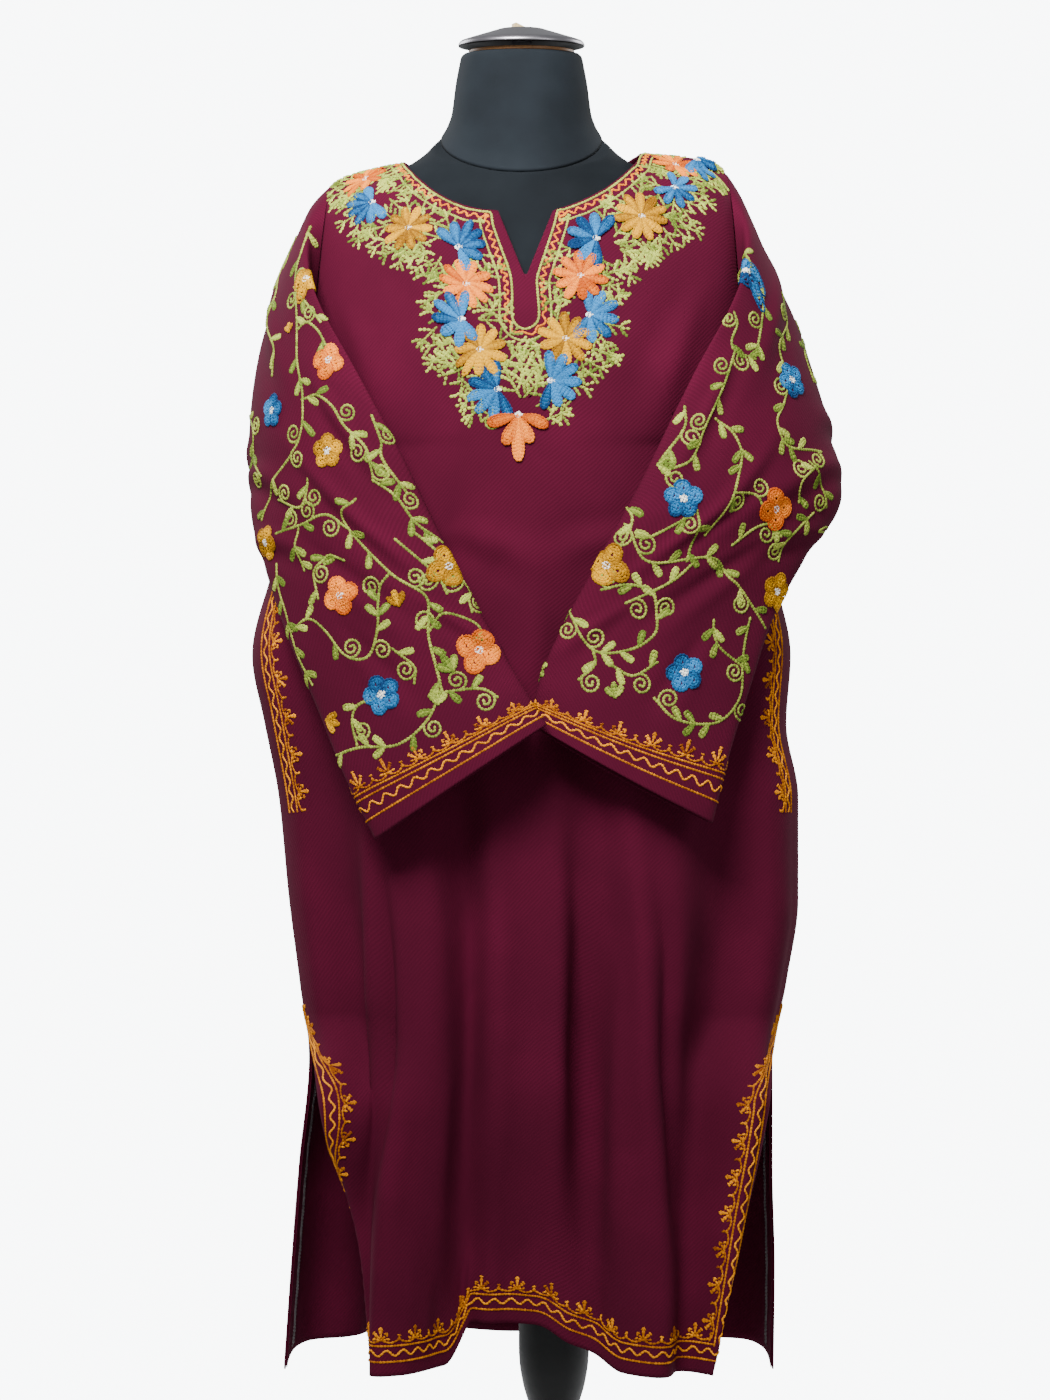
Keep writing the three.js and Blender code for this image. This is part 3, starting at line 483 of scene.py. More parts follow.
def set_inputs(tree, shader, **values):
    for name, value in values.items():
        socket = shader.inputs[name.replace("_", " ").title().replace("Ior", "IOR")]
        if isinstance(value, bpy.types.NodeSocket):
            tree.links.new(value, socket)
        else:
            socket.default_value = value


def wool_material(name, colour, pitch=0.0026):
    """Woollen twill: matt, with fine diagonal ribs on the cloth's own coordinates. Real ribs of about
    a millimetre are too fine to show, so they are drawn at about twice that."""
    material, tree, shader = new_material(name)
    base, deep, pale = (tinted(colour, share) for share in (1, 0.6, 1.9))
    flat = add_node(tree, "ShaderNodeUVMap", uv_map="flat").outputs["UV"]
    ribs = add_node(
        tree, "ShaderNodeTexWave",
        {"Vector": flat, "Scale": 0.6283 / (pitch * 1.414), "Distortion": 1.2, "Detail": 2.0,
         "Detail Scale": 1.5},
        wave_type="BANDS", bands_direction="DIAGONAL",
    ).outputs["Fac"]
    mottle = noise(tree, flat, 9.0, 5.0)
    fibre = noise(tree, flat, 900.0, 3.0)
    broad = ramp(tree, mottle, [(0.1, deep), (0.5, base), (1.0, pale)])
    ribbed = shade(tree, broad, deep, compute(tree, "MULTIPLY", ribs, 0.45))
    speck = compute(tree, "MULTIPLY", fibre, 0.3)
    colour = shade(tree, ribbed, pale, speck)
    height = compute(tree, "ADD", ribs, compute(tree, "MULTIPLY", fibre, 0.8))
    bumped = bumped_normal(tree, height, 0.35, 0.0003)
    set_inputs(
        tree, shader, base_color=colour, roughness=0.92, normal=bumped,
        sheen_weight=0.04, sheen_roughness=0.5, sheen_tint=pale,
    )
    shader.inputs["Specular IOR Level"].default_value = 0.08
    return material


def jersey_material(name, colour):
    """The form's stretched cotton cover: matt, with a faint knit grain and rubbed, dusty patches."""
    material, tree, shader = new_material(name)
    base, pale = tinted(colour, 1), tinted(colour, 1.9)
    place = add_node(tree, "ShaderNodeTexCoord").outputs["Object"]
    grain = noise(tree, place, 1400.0, 2.0)
    dust = noise(tree, place, 14.0, 6.0)
    colour = ramp(tree, dust, [(0.35, base), (0.75, pale)])
    speck = compute(tree, "MULTIPLY", grain, 0.25)
    bumped = bumped_normal(tree, grain, 0.3, 0.0002)
    colour = shade(tree, colour, pale, speck)
    set_inputs(tree, shader, base_color=colour, roughness=0.88, normal=bumped)
    shader.inputs["Specular IOR Level"].default_value = 0.12
    return material


def metal_material(name, base, roughness, scale):
    """Spun or drawn metal with fine turning marks, and painted shade that darkens it to near black where it
    faces down.
    """
    material, tree, shader = new_material(name)
    place = add_node(tree, "ShaderNodeTexCoord").outputs["Object"]
    marks = noise(tree, place, scale, 4.0)
    rough = compute(tree, "MULTIPLY_ADD", marks, 0.2, roughness - 0.1)
    worn = compute(tree, "MULTIPLY", marks, 0.25)
    colour = shade(tree, to_linear(base), to_linear("4A484C"), worn)
    # Painted shade: the colour goes towards near black 0C0A0A where the normal faces down, as on the cap's
    # hollow underside.
    facing = add_node(tree, "ShaderNodeNewGeometry").outputs["Normal"]
    height = add_node(tree, "ShaderNodeSeparateXYZ", {"Vector": facing}).outputs["Z"]
    painted_shade_below = compute(tree, "MULTIPLY_ADD", height, -3.0, -0.2)
    painted_shade_below.node.use_clamp = True
    colour = shade(tree, colour, to_linear("0C0A0A"), painted_shade_below)
    set_inputs(tree, shader, base_color=colour, roughness=rough, metallic=1.0)
    return material


def enamel_material(name, base):
    """Black stove enamel, a little uneven."""
    material, tree, shader = new_material(name)
    place = add_node(tree, "ShaderNodeTexCoord").outputs["Object"]
    peel = noise(tree, place, 260.0, 2.0)
    bumped = bumped_normal(tree, peel, 0.15, 0.0003)
    rough = compute(tree, "MULTIPLY_ADD", peel, 0.15, 0.35)
    set_inputs(tree, shader, base_color=to_linear(base), roughness=rough, normal=bumped)
    shader.inputs["Specular IOR Level"].default_value = 0.3
    return material


def wood_material(name, dark, light):
    """Plain wood with long grain."""
    material, tree, shader = new_material(name)
    place = add_node(tree, "ShaderNodeTexCoord").outputs["Object"]
    long = add_node(tree, "ShaderNodeMapping", {"Vector": place, "Scale": (60.0, 600.0, 300.0)})
    grain = add_node(tree, "ShaderNodeTexNoise", {"Vector": long.outputs[0], "Detail": 5.0})
    colour = ramp(tree, grain.outputs["Fac"], [(0.3, dark), (0.7, light)])
    set_inputs(tree, shader, base_color=colour, roughness=0.5)
    return material


def stage_material(name, base):
    """A matt painted floor, very slightly uneven."""
    material, tree, shader = new_material(name)
    place = add_node(tree, "ShaderNodeTexCoord").outputs["Object"]
    cloud = noise(tree, place, 1.5, 3.0)
    colour = ramp(tree, cloud, [(0.3, tinted(base, 1)), (0.7, tinted(base, 1.06))])
    set_inputs(tree, shader, base_color=colour, roughness=0.9)
    return material


def thread_material(name, dark, light):
    """Soft spun embroidery yarn, its dye running lighter and darker along the strand."""
    material, tree, shader = new_material(name)
    place = add_node(tree, "ShaderNodeTexCoord").outputs["Object"]
    tone = add_node(tree, "ShaderNodeAttribute", attribute_name="shade").outputs["Fac"]
    drift = noise(tree, place, 55.0, 2.0)
    fibre = noise(tree, place, 2500.0, 2.0)
    level = compute(tree, "SUBTRACT", tone, 0.35)
    factor = compute(tree, "MULTIPLY_ADD", drift, 0.7, level)
    colour = ramp(tree, factor, [(0.2, dark), (0.8, light)])
    bumped = bumped_normal(tree, fibre, 0.4, 0.0002)
    set_inputs(tree, shader, base_color=colour, roughness=0.7, normal=bumped)
    shader.inputs["Specular IOR Level"].default_value = 0.12
    return material


MAKERS = {
    "wool": lambda: wool_material("burgundy wool twill", settings().wool),
    "pocketing": lambda: wool_material("plain wool pocketing", to_linear("350916"), 0.0012),
    "neck_cover": lambda: jersey_material("cotton cover of the neck", settings().cover),
    # The torso's cover is the neck's cover darkened to six tenths: painted shade where the torso lies
    # inside the pheran's neck.
    "chest_cover": lambda: jersey_material(
        "cotton cover of the torso", tinted(settings().cover, 0.6)),
    "steel": lambda: metal_material("spun steel", "8E8B90", 0.36, 500.0),
    "enamel": lambda: enamel_material("black enamel", "030303"),
    "wood": lambda: wood_material("varnished wood", "6B431F", "A87440"),
    "chip": lambda: wood_material("pale split wood", "A88A58", "DCC592"),
    "stage": lambda: stage_material("white painted stage", settings().floor),
    "thread_green": lambda: thread_material("pale green yarn", "54681E", "AAB44A"),
    "thread_gold": lambda: thread_material("gold yarn", "7C3C00", "DC8A00"),
    "thread_mustard": lambda: thread_material("mustard yarn", "7C5000", "D09600"),
    "thread_peach": lambda: thread_material("peach yarn", "A84600", "EC8420"),
    "thread_orange": lambda: thread_material("orange yarn", "A84A00", "E68410"),
    "thread_blue": lambda: thread_material("blue yarn", "052E58", "2A74AA"),
    "thread_white": lambda: thread_material("white yarn", "D8D6CC", "F8F6EE"),
    # White overlock cotton drawn grey: painted shade, where the overlock lies in shadow inside the back.
    "thread_grey": lambda: thread_material("white overlock cotton in painted shade", "5E585A", "8E888A"),
}


def material_of(key):
    """The material of that key, made on first use."""
    found = bpy.data.materials.get(str(MADE.get(key)))
    if found is None:
        found = MAKERS[key]()
        MADE[key] = found.name
    return found


MADE = {}


# Meshes

def unwrapped(uv, period):
    """Flat places of quads' corners, put right where a quad crosses the line at which a tube's
    flat places start again."""
    quads = uv.reshape(-1, 4, 2).copy()
    crossing = np.ptp(quads[..., 0], axis=1) > period / 2
    low = crossing[:, None] & (quads[..., 0] < period / 2)
    quads[..., 0] += np.where(low, quads[..., 0].max(), 0)
    return quads.reshape(-1, 2)


def new_piece(name, vertices, faces, material, replaces=(), uv=None, smooth=True, period=0):
    """A mesh object that rides on the root body; vertices are in millimetres."""
    mesh = bpy.data.meshes.new(name)
    mesh.from_pydata((np.asarray(vertices) * MM).tolist(), [], [list(f) for f in faces])
    mesh.polygons.foreach_set("use_smooth", [smooth] * len(mesh.polygons))
    if uv is not None:
        layer = mesh.uv_layers.new(name="flat")
        loops = np.empty(len(mesh.loops), int)
        mesh.loops.foreach_get("vertex_index", loops)
        corners = np.asarray(uv)[loops]
        corners = unwrapped(corners, period) if period else corners
        layer.uv.foreach_set("vector", (corners * MM).ravel())
    mesh.validate()
    mesh.materials.append(material_of(material))
    piece = bpy.data.objects.new(name, mesh)
    bpy.context.scene.collection.objects.link(piece)
    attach(piece, "root")
    if replaces:
        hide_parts(*replaces)
    return piece


def shell(points, normals, uv, thickness, closed):
    """A closed cloth wall between a grid of points and the same points moved in."""
    rows, columns = points.shape[:2]
    if closed:
        points, normals = points[:, :-1], normals[:, :-1]
    wide = points.shape[1]
    vertices = np.vstack([points.reshape(-1, 3), (points - normals * thickness).reshape(-1, 3)])
    i, j = np.meshgrid(np.arange(rows - 1), np.arange(columns - 1), indexing="ij")
    a, b = i * wide + j % wide, i * wide + (j + 1) % wide
    outer = np.stack([a, a + wide, b + wide, b], -1).reshape(-1, 4)
    layer = rows * wide
    faces = [outer, outer[:, ::-1] + layer]
    j = np.arange(columns - 1)
    for row, turn in ((0, False), (rows - 1, True)):
        a, b = row * wide + j % wide, row * wide + (j + 1) % wide
        rim = np.stack([a, b, b + layer, a + layer], -1)
        faces.append(rim[:, ::-1] if turn else rim)
    if not closed:
        i = np.arange(rows - 1) * wide
        for column, turn in ((0, True), (wide - 1, False)):
            rim = np.stack([i + column, i + column + wide, i + column + wide + layer,
                            i + column + layer], -1)
            faces.append(rim if not turn else rim[:, ::-1])
    flat = uv[:, :-1].reshape(-1, 2) if closed else uv.reshape(-1, 2)
    return vertices, np.vstack(faces), np.vstack([flat, flat])


def faces_out(vertices, faces):
    """The faces, turned round if the closed mesh is inside out."""
    a, b, c = (vertices[faces[:, k]] for k in (0, 1, 2))
    d = vertices[faces[:, 3 if faces.shape[1] > 3 else 2]]
    volume = np.sum(a * np.cross(b, c)) + np.sum(a * np.cross(c, d))
    return faces if volume > 0 else faces[:, ::-1]


def cloth_piece(name, grid, replaces, material, thickness=CLOTH):
    """A cloth wall as a piece: grid is its points, normals, flat coordinates and whether it is a tube."""
    points, normals, uv, closed = grid
    vertices, faces, uv = shell(points, normals, uv, thickness, closed)
    period = uv[:, 0].max() if closed else 0
    piece = new_piece(name, vertices, faces_out(vertices, faces), material, replaces, uv,
                      period=period)
    return piece


# The neck opening, as the height of its edge at each place across

SCOOP = {"left": -133, "right": 80, "top": 1398, "right_top": 1407, "low": 1342, "half": 23.5}


def bezier(a, b, c, d, count):
    f = np.linspace(0, 1, count)[:, None]
    a, b, c, d = (np.array(p, float) for p in (a, b, c, d))
    return (1 - f) ** 3 * a + 3 * (1 - f) ** 2 * f * b + 3 * (1 - f) * f**2 * c + f**3 * d


def front_neckline():
    """The front neck edge from left to right, in x and z: a wide scoop with a slit below it."""
    s = SCOOP
    left = bezier(
        (s["left"], s["top"] + 2), (s["left"] + 16, s["low"] + 24),
        (s["left"] + 46, s["low"] + 1), (NECK_SLIT[0] - s["half"], s["low"]), 40,
    )
    right = bezier(
        (NECK_SLIT[0] + s["half"], s["low"]), (s["right"] - 44, s["low"] + 12),
        (s["right"] - 16, s["low"] + 30), (s["right"], s["right_top"] + 2), 40,
    )
    return np.vstack([left, [NECK_SLIT], right])


def back_neckline():
    s = SCOOP
    return bezier(
        (s["left"], s["top"] + 2), (s["left"] + 30, s["top"] - 14),
        (s["right"] - 30, s["top"] - 8), (s["right"], s["right_top"] + 2), 60,
    )


def opened(surface, neckline):
    """The panel's grid with its upper edge lowered to the neckline."""
    shares = np.linspace(0, 1, surface.columns + 1)
    starts = np.zeros_like(shares)
    b = np.linspace(0, 0.2, 700)
    for k, a in enumerate(shares):
        line = surface.sample(surface.points, np.full_like(b, a), b)
        inside = (line[:, 0] > neckline[0, 0]) & (line[:, 0] < neckline[-1, 0])
        edge = np.interp(line[:, 0], neckline[:, 0], neckline[:, 1])
        above = inside & (line[:, 2] > edge)
        if above.any():
            starts[k] = b[np.flatnonzero(above)[-1]]
    down = np.linspace(0, 1, surface.rows + 1)[:, None]
    a = np.repeat(shares[None, :], surface.rows + 1, 0)
    b = starts[None, :] + (1 - starts[None, :]) * down
    points = surface.sample(surface.points, a, b)
    normals = unit(surface.sample(surface.normals, a, b))
    uv = surface.sample(np.stack([surface.u, surface.v], -1), a, b)
    return points, normals, uv, False


# Creases: u, v, length, angle, depth, width and bend of each, on the flat cloth
FRONT_CREASES = [
    (-120, 470, 420, 84, 3.4, 17, 8), (-66, 560, 520, 92, -3.0, 20, -6), (12, 520, 380, 88, 2.4, 16, 6),
    (84, 600, 460, 95, 3.2, 19, -8), (138, 520, 320, 98, -2.6, 15, 5), (-108, 760, 420, 93, 3.2, 16, 6),
    (-163, 790, 400, 97, -9.0, 11, 8), (38, 840, 460, 87, -8.6, 13, -6), (128, 820, 420, 82, -8.4, 12, 6),
    (-40, 800, 460, 90, 4.6, 17, 6), (82, 900, 360, 88, 4.0, 15, 5), (-110, 930, 260, 92, 3.4, 14, -4),
    (-20, 420, 150, 20, 1.8, 11, 4), (60, 410, 130, 155, 1.7, 10, -4), (-140, 250, 190, 70, 2.4, 13, 8),
    (128, 250, 190, 108, 2.4, 13, -8), (-96, 180, 110, 55, 1.2, 10, 4), (-60, 1050, 90, 85, 1.8, 9, 2),
    (60, 1052, 80, 95, -1.6, 9, 2), (0, 1040, 80, 90, 1.5, 9, -2), (-110, 1046, 90, 85, -1.5, 9, 2),
]
BACK_CREASES = [
    (-130, 330, 420, 80, 3.2, 17, 10), (-40, 380, 460, 88, -2.8, 20, -6), (60, 340, 420, 94, 3.0, 18, 6),
    (140, 420, 400, 98, -2.8, 16, -8), (-170, 620, 380, 84, 3.0, 18, 6), (-80, 700, 460, 90, 3.0, 19, 6),
    (20, 720, 420, 90, -2.8, 18, 4), (110, 760, 440, 93, 3.0, 18, -6), (190, 640, 360, 96, 2.8, 16, 6),
    (0, 130, 240, 4, 1.8, 12, 10), (-90, 160, 160, 30, 1.6, 11, 6), (90, 160, 160, 150, 1.6, 11, -6),
    (-40, 960, 260, 88, 2.2, 14, 4), (60, 980, 240, 92, -2.2, 14, 4), (150, 960, 240, 94, 2.2, 14, 4),
]
RIGHT_SLEEVE_CREASES = [
    (150, 330, 190, 62, 2.2, 10, 8), (110, 390, 170, 48, -2.0, 11, 6), (190, 250, 160, 70, 2.0, 10, -6),
    (60, 290, 170, 30, 2.2, 11, 10), (40, 350, 140, 14, 1.8, 9, 6), (120, 150, 210, 74, 2.0, 12, -8),
    (180, 440, 120, 60, 1.6, 9, 4), (90, 470, 130, 70, -1.6, 10, 4), (20, 240, 120, 12, 1.8, 10, 6),
    (330, 260, 190, 100, 2.4, 13, 8), (400, 340, 180, 80, -2.2, 13, 6), (360, 430, 150, 95, 2.0, 12, 6),
    (450, 200, 200, 85, 2.2, 14, -8), (300, 380, 140, 110, 1.8, 11, 5),
]
LEFT_SLEEVE_CREASES = [
    (150, 330, 190, 62, 2.2, 10, 8), (100, 400, 160, 50, -2.0, 11, 6), (196, 240, 160, 74, 2.0, 10, -6),
    (60, 300, 170, 26, 2.4, 11, 10), (34, 356, 140, 10, 2.0, 9, 6), (130, 150, 210, 70, 2.0, 12, 8),
    (170, 450, 120, 66, 1.6, 9, 4), (80, 480, 120, 76, -1.6, 10, 4), (24, 230, 120, 16, 2.0, 10, 6),
    (330, 260, 190, 100, 2.4, 13, 8), (400, 340, 180, 80, -2.2, 13, 6), (360, 430, 150, 95, 2.0, 12, 6),
    (450, 200, 200, 85, 2.2, 14, -8), (300, 380, 140, 110, 1.8, 11, 5),
]

SURFACES = {}


def settings():
    return bpy.context.scene.pheran


def surface_of(name):
    """The named cloth surface with its creases, worked out on first use."""
    if name not in SURFACES:
        if name in ("front", "back"):
            made = panel_surface(-1, 150, 240) if name == "front" else panel_surface(1, 110, 180)
            rows = FRONT_CREASES if name == "front" else BACK_CREASES
        elif name == "sleeve_right":
            made, rows = sleeve_surface(SLEEVE_RIGHT, "left"), RIGHT_SLEEVE_CREASES
        else:
            made, rows = sleeve_surface(SLEEVE_LEFT, "right"), LEFT_SLEEVE_CREASES
        if rows:
            made.raise_by(crease_lift(made.u, made.v, rows) * settings().crease)
        SURFACES[name] = made
    return SURFACES[name]


def make_panels():
    front, back = surface_of("front"), surface_of("back")
    cloth_piece("pheran_front", opened(front, front_neckline()), ["front_panel"], "wool")
    cloth_piece("pheran_back", opened(back, back_neckline()), ["back_panel"], "wool")


def make_sleeves():
    for name in ("sleeve_right", "sleeve_left"):
        s = surface_of(name)
        grid = (s.points, s.normals, np.stack([s.u, s.v], -1), True)
        cloth_piece("pheran_" + name, grid, [name], "wool")


BAG = {"columns": 16, "rows": 20, "top": 0.9, "foot": 1.5, "air": 0.6, "shut": 3.5, "long": 220,
       "wall": 0.8}
TURNING = {"share": 0.055, "from": 0.692, "to": 0.9985, "columns": 8, "rows": 60, "air": 0.5,
           "wall": 0.9}


def pocket_layers(side, moved):
    """One layer of a bag, behind the front panel and moved in from it."""
    sign = -1 if side == "left" else 1
    top_z = POCKET["z"] + POCKET["half"] * BAG["top"]
    foot_z = POCKET["z"] - POCKET["half"] * BAG["foot"]
    shoulder = shoulder_at(np.array(float(sign)))[1]
    across = sign * np.linspace(0.994, 1 - POCKET["deep"], BAG["columns"])
    down = (shoulder - np.linspace(top_z, foot_z, BAG["rows"])) / (shoulder - HEM_Z)
    grid = body_point(*np.meshgrid(across, down), -1)
    normals = grid_normals(grid, False, 1)
    if np.sum(normals[..., 1]) > 0:
        normals = -normals
    return grid - normals * moved


def make_pockets():
    """Each bag is one strip of pocketing, folded at its inner edge and closed at top and foot."""
    for side, wearer in (("left", "right"), ("right", "left")):
        inset = POCKET["inset"] + CLOTH + BAG["air"]
        gap = np.linspace(POCKET["gap"], BAG["shut"], BAG["columns"])[None, :, None]
        near, far = pocket_layers(side, inset), pocket_layers(side, inset + gap)
        grid = np.concatenate([near, far[:, ::-1]], 1)
        middle = (near + far) / 2
        pinched = np.concatenate([middle, middle[:, ::-1]], 1)
        for row, share in ((0, 0.9), (1, 0.35), (-2, 0.35), (-1, 0.9)):
            grid[row] = mix(grid[row], pinched[row], share)
        normals = grid_normals(grid, False, 1)
        if np.sum(normals[:, : BAG["columns"], 1]) > 0:
            normals = -normals
        u = np.cumsum(np.linalg.norm(np.diff(grid, axis=1, prepend=grid[:, :1]), axis=2), axis=1)
        v = np.repeat(np.linspace(0, BAG["long"], len(grid))[:, None], grid.shape[1], 1)
        cloth_piece("pocket_" + wearer, (grid, normals, np.stack([u, v], -1), False),
                    ["pocket_bag_" + wearer], "pocketing",
                    BAG["wall"])


def make_facings():
    """The turned-in strips along the back's side slits."""
    back = surface_of("back")
    for wearer, edge, inward in (("right", 0.0, 1), ("left", 1.0, -1)):
        a = np.linspace(edge, edge + inward * TURNING["share"], TURNING["columns"])
        places = np.meshgrid(a, np.linspace(TURNING["from"], TURNING["to"], TURNING["rows"]))
        points = back.sample(back.points, *places)
        normals = unit(back.sample(back.normals, *places))
        uv = back.sample(np.stack([back.u, back.v], -1), *places)
        inner = points - normals * (CLOTH + TURNING["air"])
        cloth_piece("slit_turning_" + wearer, (inner, normals, uv, False),
                    ["slit_facing_" + wearer], "wool",
                    TURNING["wall"])


# The dress form and its stand

# z, wide, front, back, power
TORSO = [
    (756, 160, 80, 80, 2.3), (768, 168, 86, 86, 2.3), (860, 170, 92, 89, 2.3),
    (940, 148, 91, 86, 2.3), (1010, 130, 88, 79, 2.3), (1080, 143, 100, 85, 2.3),
    (1140, 157, 116, 92, 2.3), (1190, 161, 119, 96, 2.3), (1240, 166, 111, 95, 2.2),
    (1290, 171, 97, 88, 2.1), (1330, 171, 83, 78, 1.9), (1356, 164, 75, 69, 1.6),
    (1374, 148, 71, 60, 1.35), (1386, 121.5, 69, 56, 1.4), (1396, 97.5, 68, 54, 1.6),
    (1408, 81, 67, 53, 1.8), (1424, 69, 66, 55, 2), (1458, 64, 60, 58, 2),
]
# z, y, wide, front, back, tilt
NECK = [
    (1418, 0, 71, 80, 68, 30), (1427, -1, 66, 70, 63, 27), (1440, -2, 61.5, 62, 59, 21),
    (1465, -4, 58, 56, 53, 13), (1481, -5, 55, 53, 52, 8), (1489.5, -5, 53, 51, 51, 6),
    (1492, -5, 50.5, 49, 49, 6),
]


def loft_points(x, y, z, wide, front, back, power, tilt, around=96):
    angle = np.linspace(0, 2 * np.pi, around, endpoint=False)
    p = 2 / power[:, None]
    c = np.sign(np.cos(angle)) * np.abs(np.cos(angle)) ** p
    w = np.sign(np.sin(angle)) * np.abs(np.sin(angle)) ** p
    deep = np.where(w < 0, front[:, None], back[:, None]) * w
    tilt = np.radians(tilt)[:, None]
    return np.stack([x[:, None] + wide[:, None] * c, y[:, None] + deep * np.cos(tilt),
                     z[:, None] + deep * np.sin(tilt)], -1)


def capped(points):
    """Faces of a closed solid through rings of points."""
    rings, around = points.shape[:2]
    i, j = np.meshgrid(np.arange(rings - 1), np.arange(around), indexing="ij")
    a, b = i * around + j, i * around + (j + 1) % around
    faces = [list(f) for f in np.stack([a, b, b + around, a + around], -1).reshape(-1, 4)]
    last = (rings - 1) * around
    faces.append(list(range(around))[::-1])
    faces.append([last + k for k in range(around)])
    return faces


FORM_SEAM = {"x": -29, "wide": 1.6, "out": 0.8}


def neck_base(y):
    """The height of the neck cover's lower edge above a place on the torso."""
    return NECK[0][0] + y * math.tan(math.radians(NECK[0][5]))


def make_form():
    """The torso with its front seam, and the neck."""
    z = np.concatenate([np.linspace(756, 768, 6), np.linspace(774, 1330, 60),
                        np.linspace(1334, 1445, 44)])
    rows = smooth_table(TORSO)(z)
    points = loft_points(form_x(z), z * 0, z, *rows.T[:3], rows[:, 3], z * 0)
    top = neck_base(points[..., 1]) - 0.4
    points[..., 2] = np.minimum(points[..., 2], top)
    off = (points[..., 0] - FORM_SEAM["x"]) / FORM_SEAM["wide"]
    seam = np.exp(-(off**2)) * (points[..., 1] < 0)
    points[..., 1] += FORM_SEAM["out"] * seam
    new_piece("form_body", points.reshape(-1, 3), capped(points), "chest_cover",
              ["form_torso"])
    z = np.concatenate([np.linspace(1418, 1487, 40), np.linspace(1488, 1492, 8)])
    rows = smooth_table(NECK)(z)
    points = loft_points(z * 0 + FORM_X, rows[:, 0], z, *rows.T[1:4], z * 0 + 2, rows[:, 4])
    new_piece("form_neck_cover", points.reshape(-1, 3), capped(points), "neck_cover",
              ["form_neck"])


def turned_points(profile, around=96):
    """Rings round the Z axis from a profile of (radius, height); the ends lie near the axis."""
    r = np.maximum(np.array([p[0] for p in profile], float), 0.02)
    h = np.array([p[1] for p in profile], float)
    angle = np.linspace(0, 2 * np.pi, around, endpoint=False)
    return np.stack([r[:, None] * np.cos(angle), r[:, None] * np.sin(angle),
                     np.repeat(h[:, None], around, 1)], -1)


def rounded(profile, radius=0.8, steps=3):
    """A profile with its corners rounded."""
    points = [np.array(p, float) for p in profile]
    found = [points[0]]
    for before, here, after in zip(points, points[1:], points[2:]):
        reach = min(radius, np.linalg.norm(here - before) * 0.4, np.linalg.norm(after - here) * 0.4)
        a = here + (before - here) / np.linalg.norm(before - here) * reach
        b = here + (after - here) / np.linalg.norm(after - here) * reach
        for f in np.linspace(0, 1, steps + 1):
            found.append((1 - f) ** 2 * a + 2 * f * (1 - f) * here + f**2 * b)
    return [tuple(p) for p in found] + [tuple(points[-1])]


NECK_TOP = {"z": 1492, "y": -5, "tilt": 6}
PLATE = {"r": 46.5, "thick": 3, "lift": 0.3}
STEM = {"r": 9, "from": 3.6, "to": 20}
CAP = {"r": 55.5, "lip": 5, "height": 16, "skin": 2, "lift": 6.3}


def on_neck(points, height):
    """Points that stand on the neck's tilted top."""
    tilt = math.radians(NECK_TOP["tilt"])
    x, y, z = points[..., 0], points[..., 1], points[..., 2] + height
    return np.stack([x + FORM_X, y * math.cos(tilt) - z * math.sin(tilt) + NECK_TOP["y"],
                     y * math.sin(tilt) + z * math.cos(tilt) + NECK_TOP["z"]], -1)


def make_turned(name, profile, material, node, height=None, around=96):
    points = turned_points(profile, around)
    if height is not None:
        points = on_neck(points, height)
    vertices, faces = points.reshape(-1, 3), capped(points)
    quads = np.array([f for f in faces if len(f) == 4])
    if faces_out(vertices, quads) is not quads:
        faces = [f[::-1] for f in faces]
    new_piece(name, vertices, faces, material, [node])


def disc(r, foot, top):
    """The profile of a plain cylinder."""
    return [(0, foot), (r, foot), (r, top), (0, top)]


def make_cap():
    """The wooden plate, the stem and the spun cap with its rolled rim, on top of the neck."""
    plate = disc(PLATE["r"], 0, PLATE["thick"])
    make_turned("neck_plate_wood", rounded(plate), "wood", "neck_plate", PLATE["lift"])
    stem = disc(STEM["r"], STEM["from"], STEM["to"])
    make_turned("cap_stem_metal", rounded(stem), "steel", "cap_stem", 0)
    r, lip, height, skin = (CAP[key] for key in ("r", "lip", "height", "skin"))
    cap = [(0, height), (18, height), (23, height - 1.5), (r - 8, lip + 2), (r - 2, lip), (r, lip / 2),
           (r, 0), (r - 3, 0), (r - 9, lip - 1), (22, height - 1.5 - skin), (16, height - skin),
           (0, height - skin)]
    make_turned("neck_cap_metal", rounded(cap, 2, 4), "steel", "neck_cap",
                CAP["lift"])


# Radius and height along each part's profile
COLUMN = [
    (0, 288), (18, 288), (19, 296), (23, 309), (27, 322), (30, 338), (31, 352),
    (31, 755.7), (0, 755.7),
]
BASE = [
    (0, 0), (186, 0), (190, 3), (190, 12), (182, 16), (60, 24), (32, 30), (27, 34), (27, 62),
    (0, 62),
]
POLE = {"r": 16, "from": 62.3, "to": 287.7}


def make_stand():
    """The column with its turned foot, the pole and the round base."""
    pole = disc(POLE["r"], POLE["from"], POLE["to"])
    for part, profile, around in (
        ("column", rounded(COLUMN, 6, 5), 64), ("pole", rounded(pole), 48),
        ("base", rounded(BASE, 3, 5), 96),
    ):
        make_turned(f"stand_{part}_black", profile, "enamel", "stand_" + part,
                    around=around)


def make_peg():
    """Gives the imported wooden chip that wedges the cap, with its edges broken, its pale split wood."""
    piece_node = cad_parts["cap_peg"]
    piece_node.data.materials.clear()
    piece_node.data.materials.append(material_of("chip"))


# Embroidery: every line is a run of chain stitches. Places are flat places on the cloth, in
# millimetres; angles run from the cloth's right hand (0) towards its foot (90).

STITCH_PITCH = 1.95


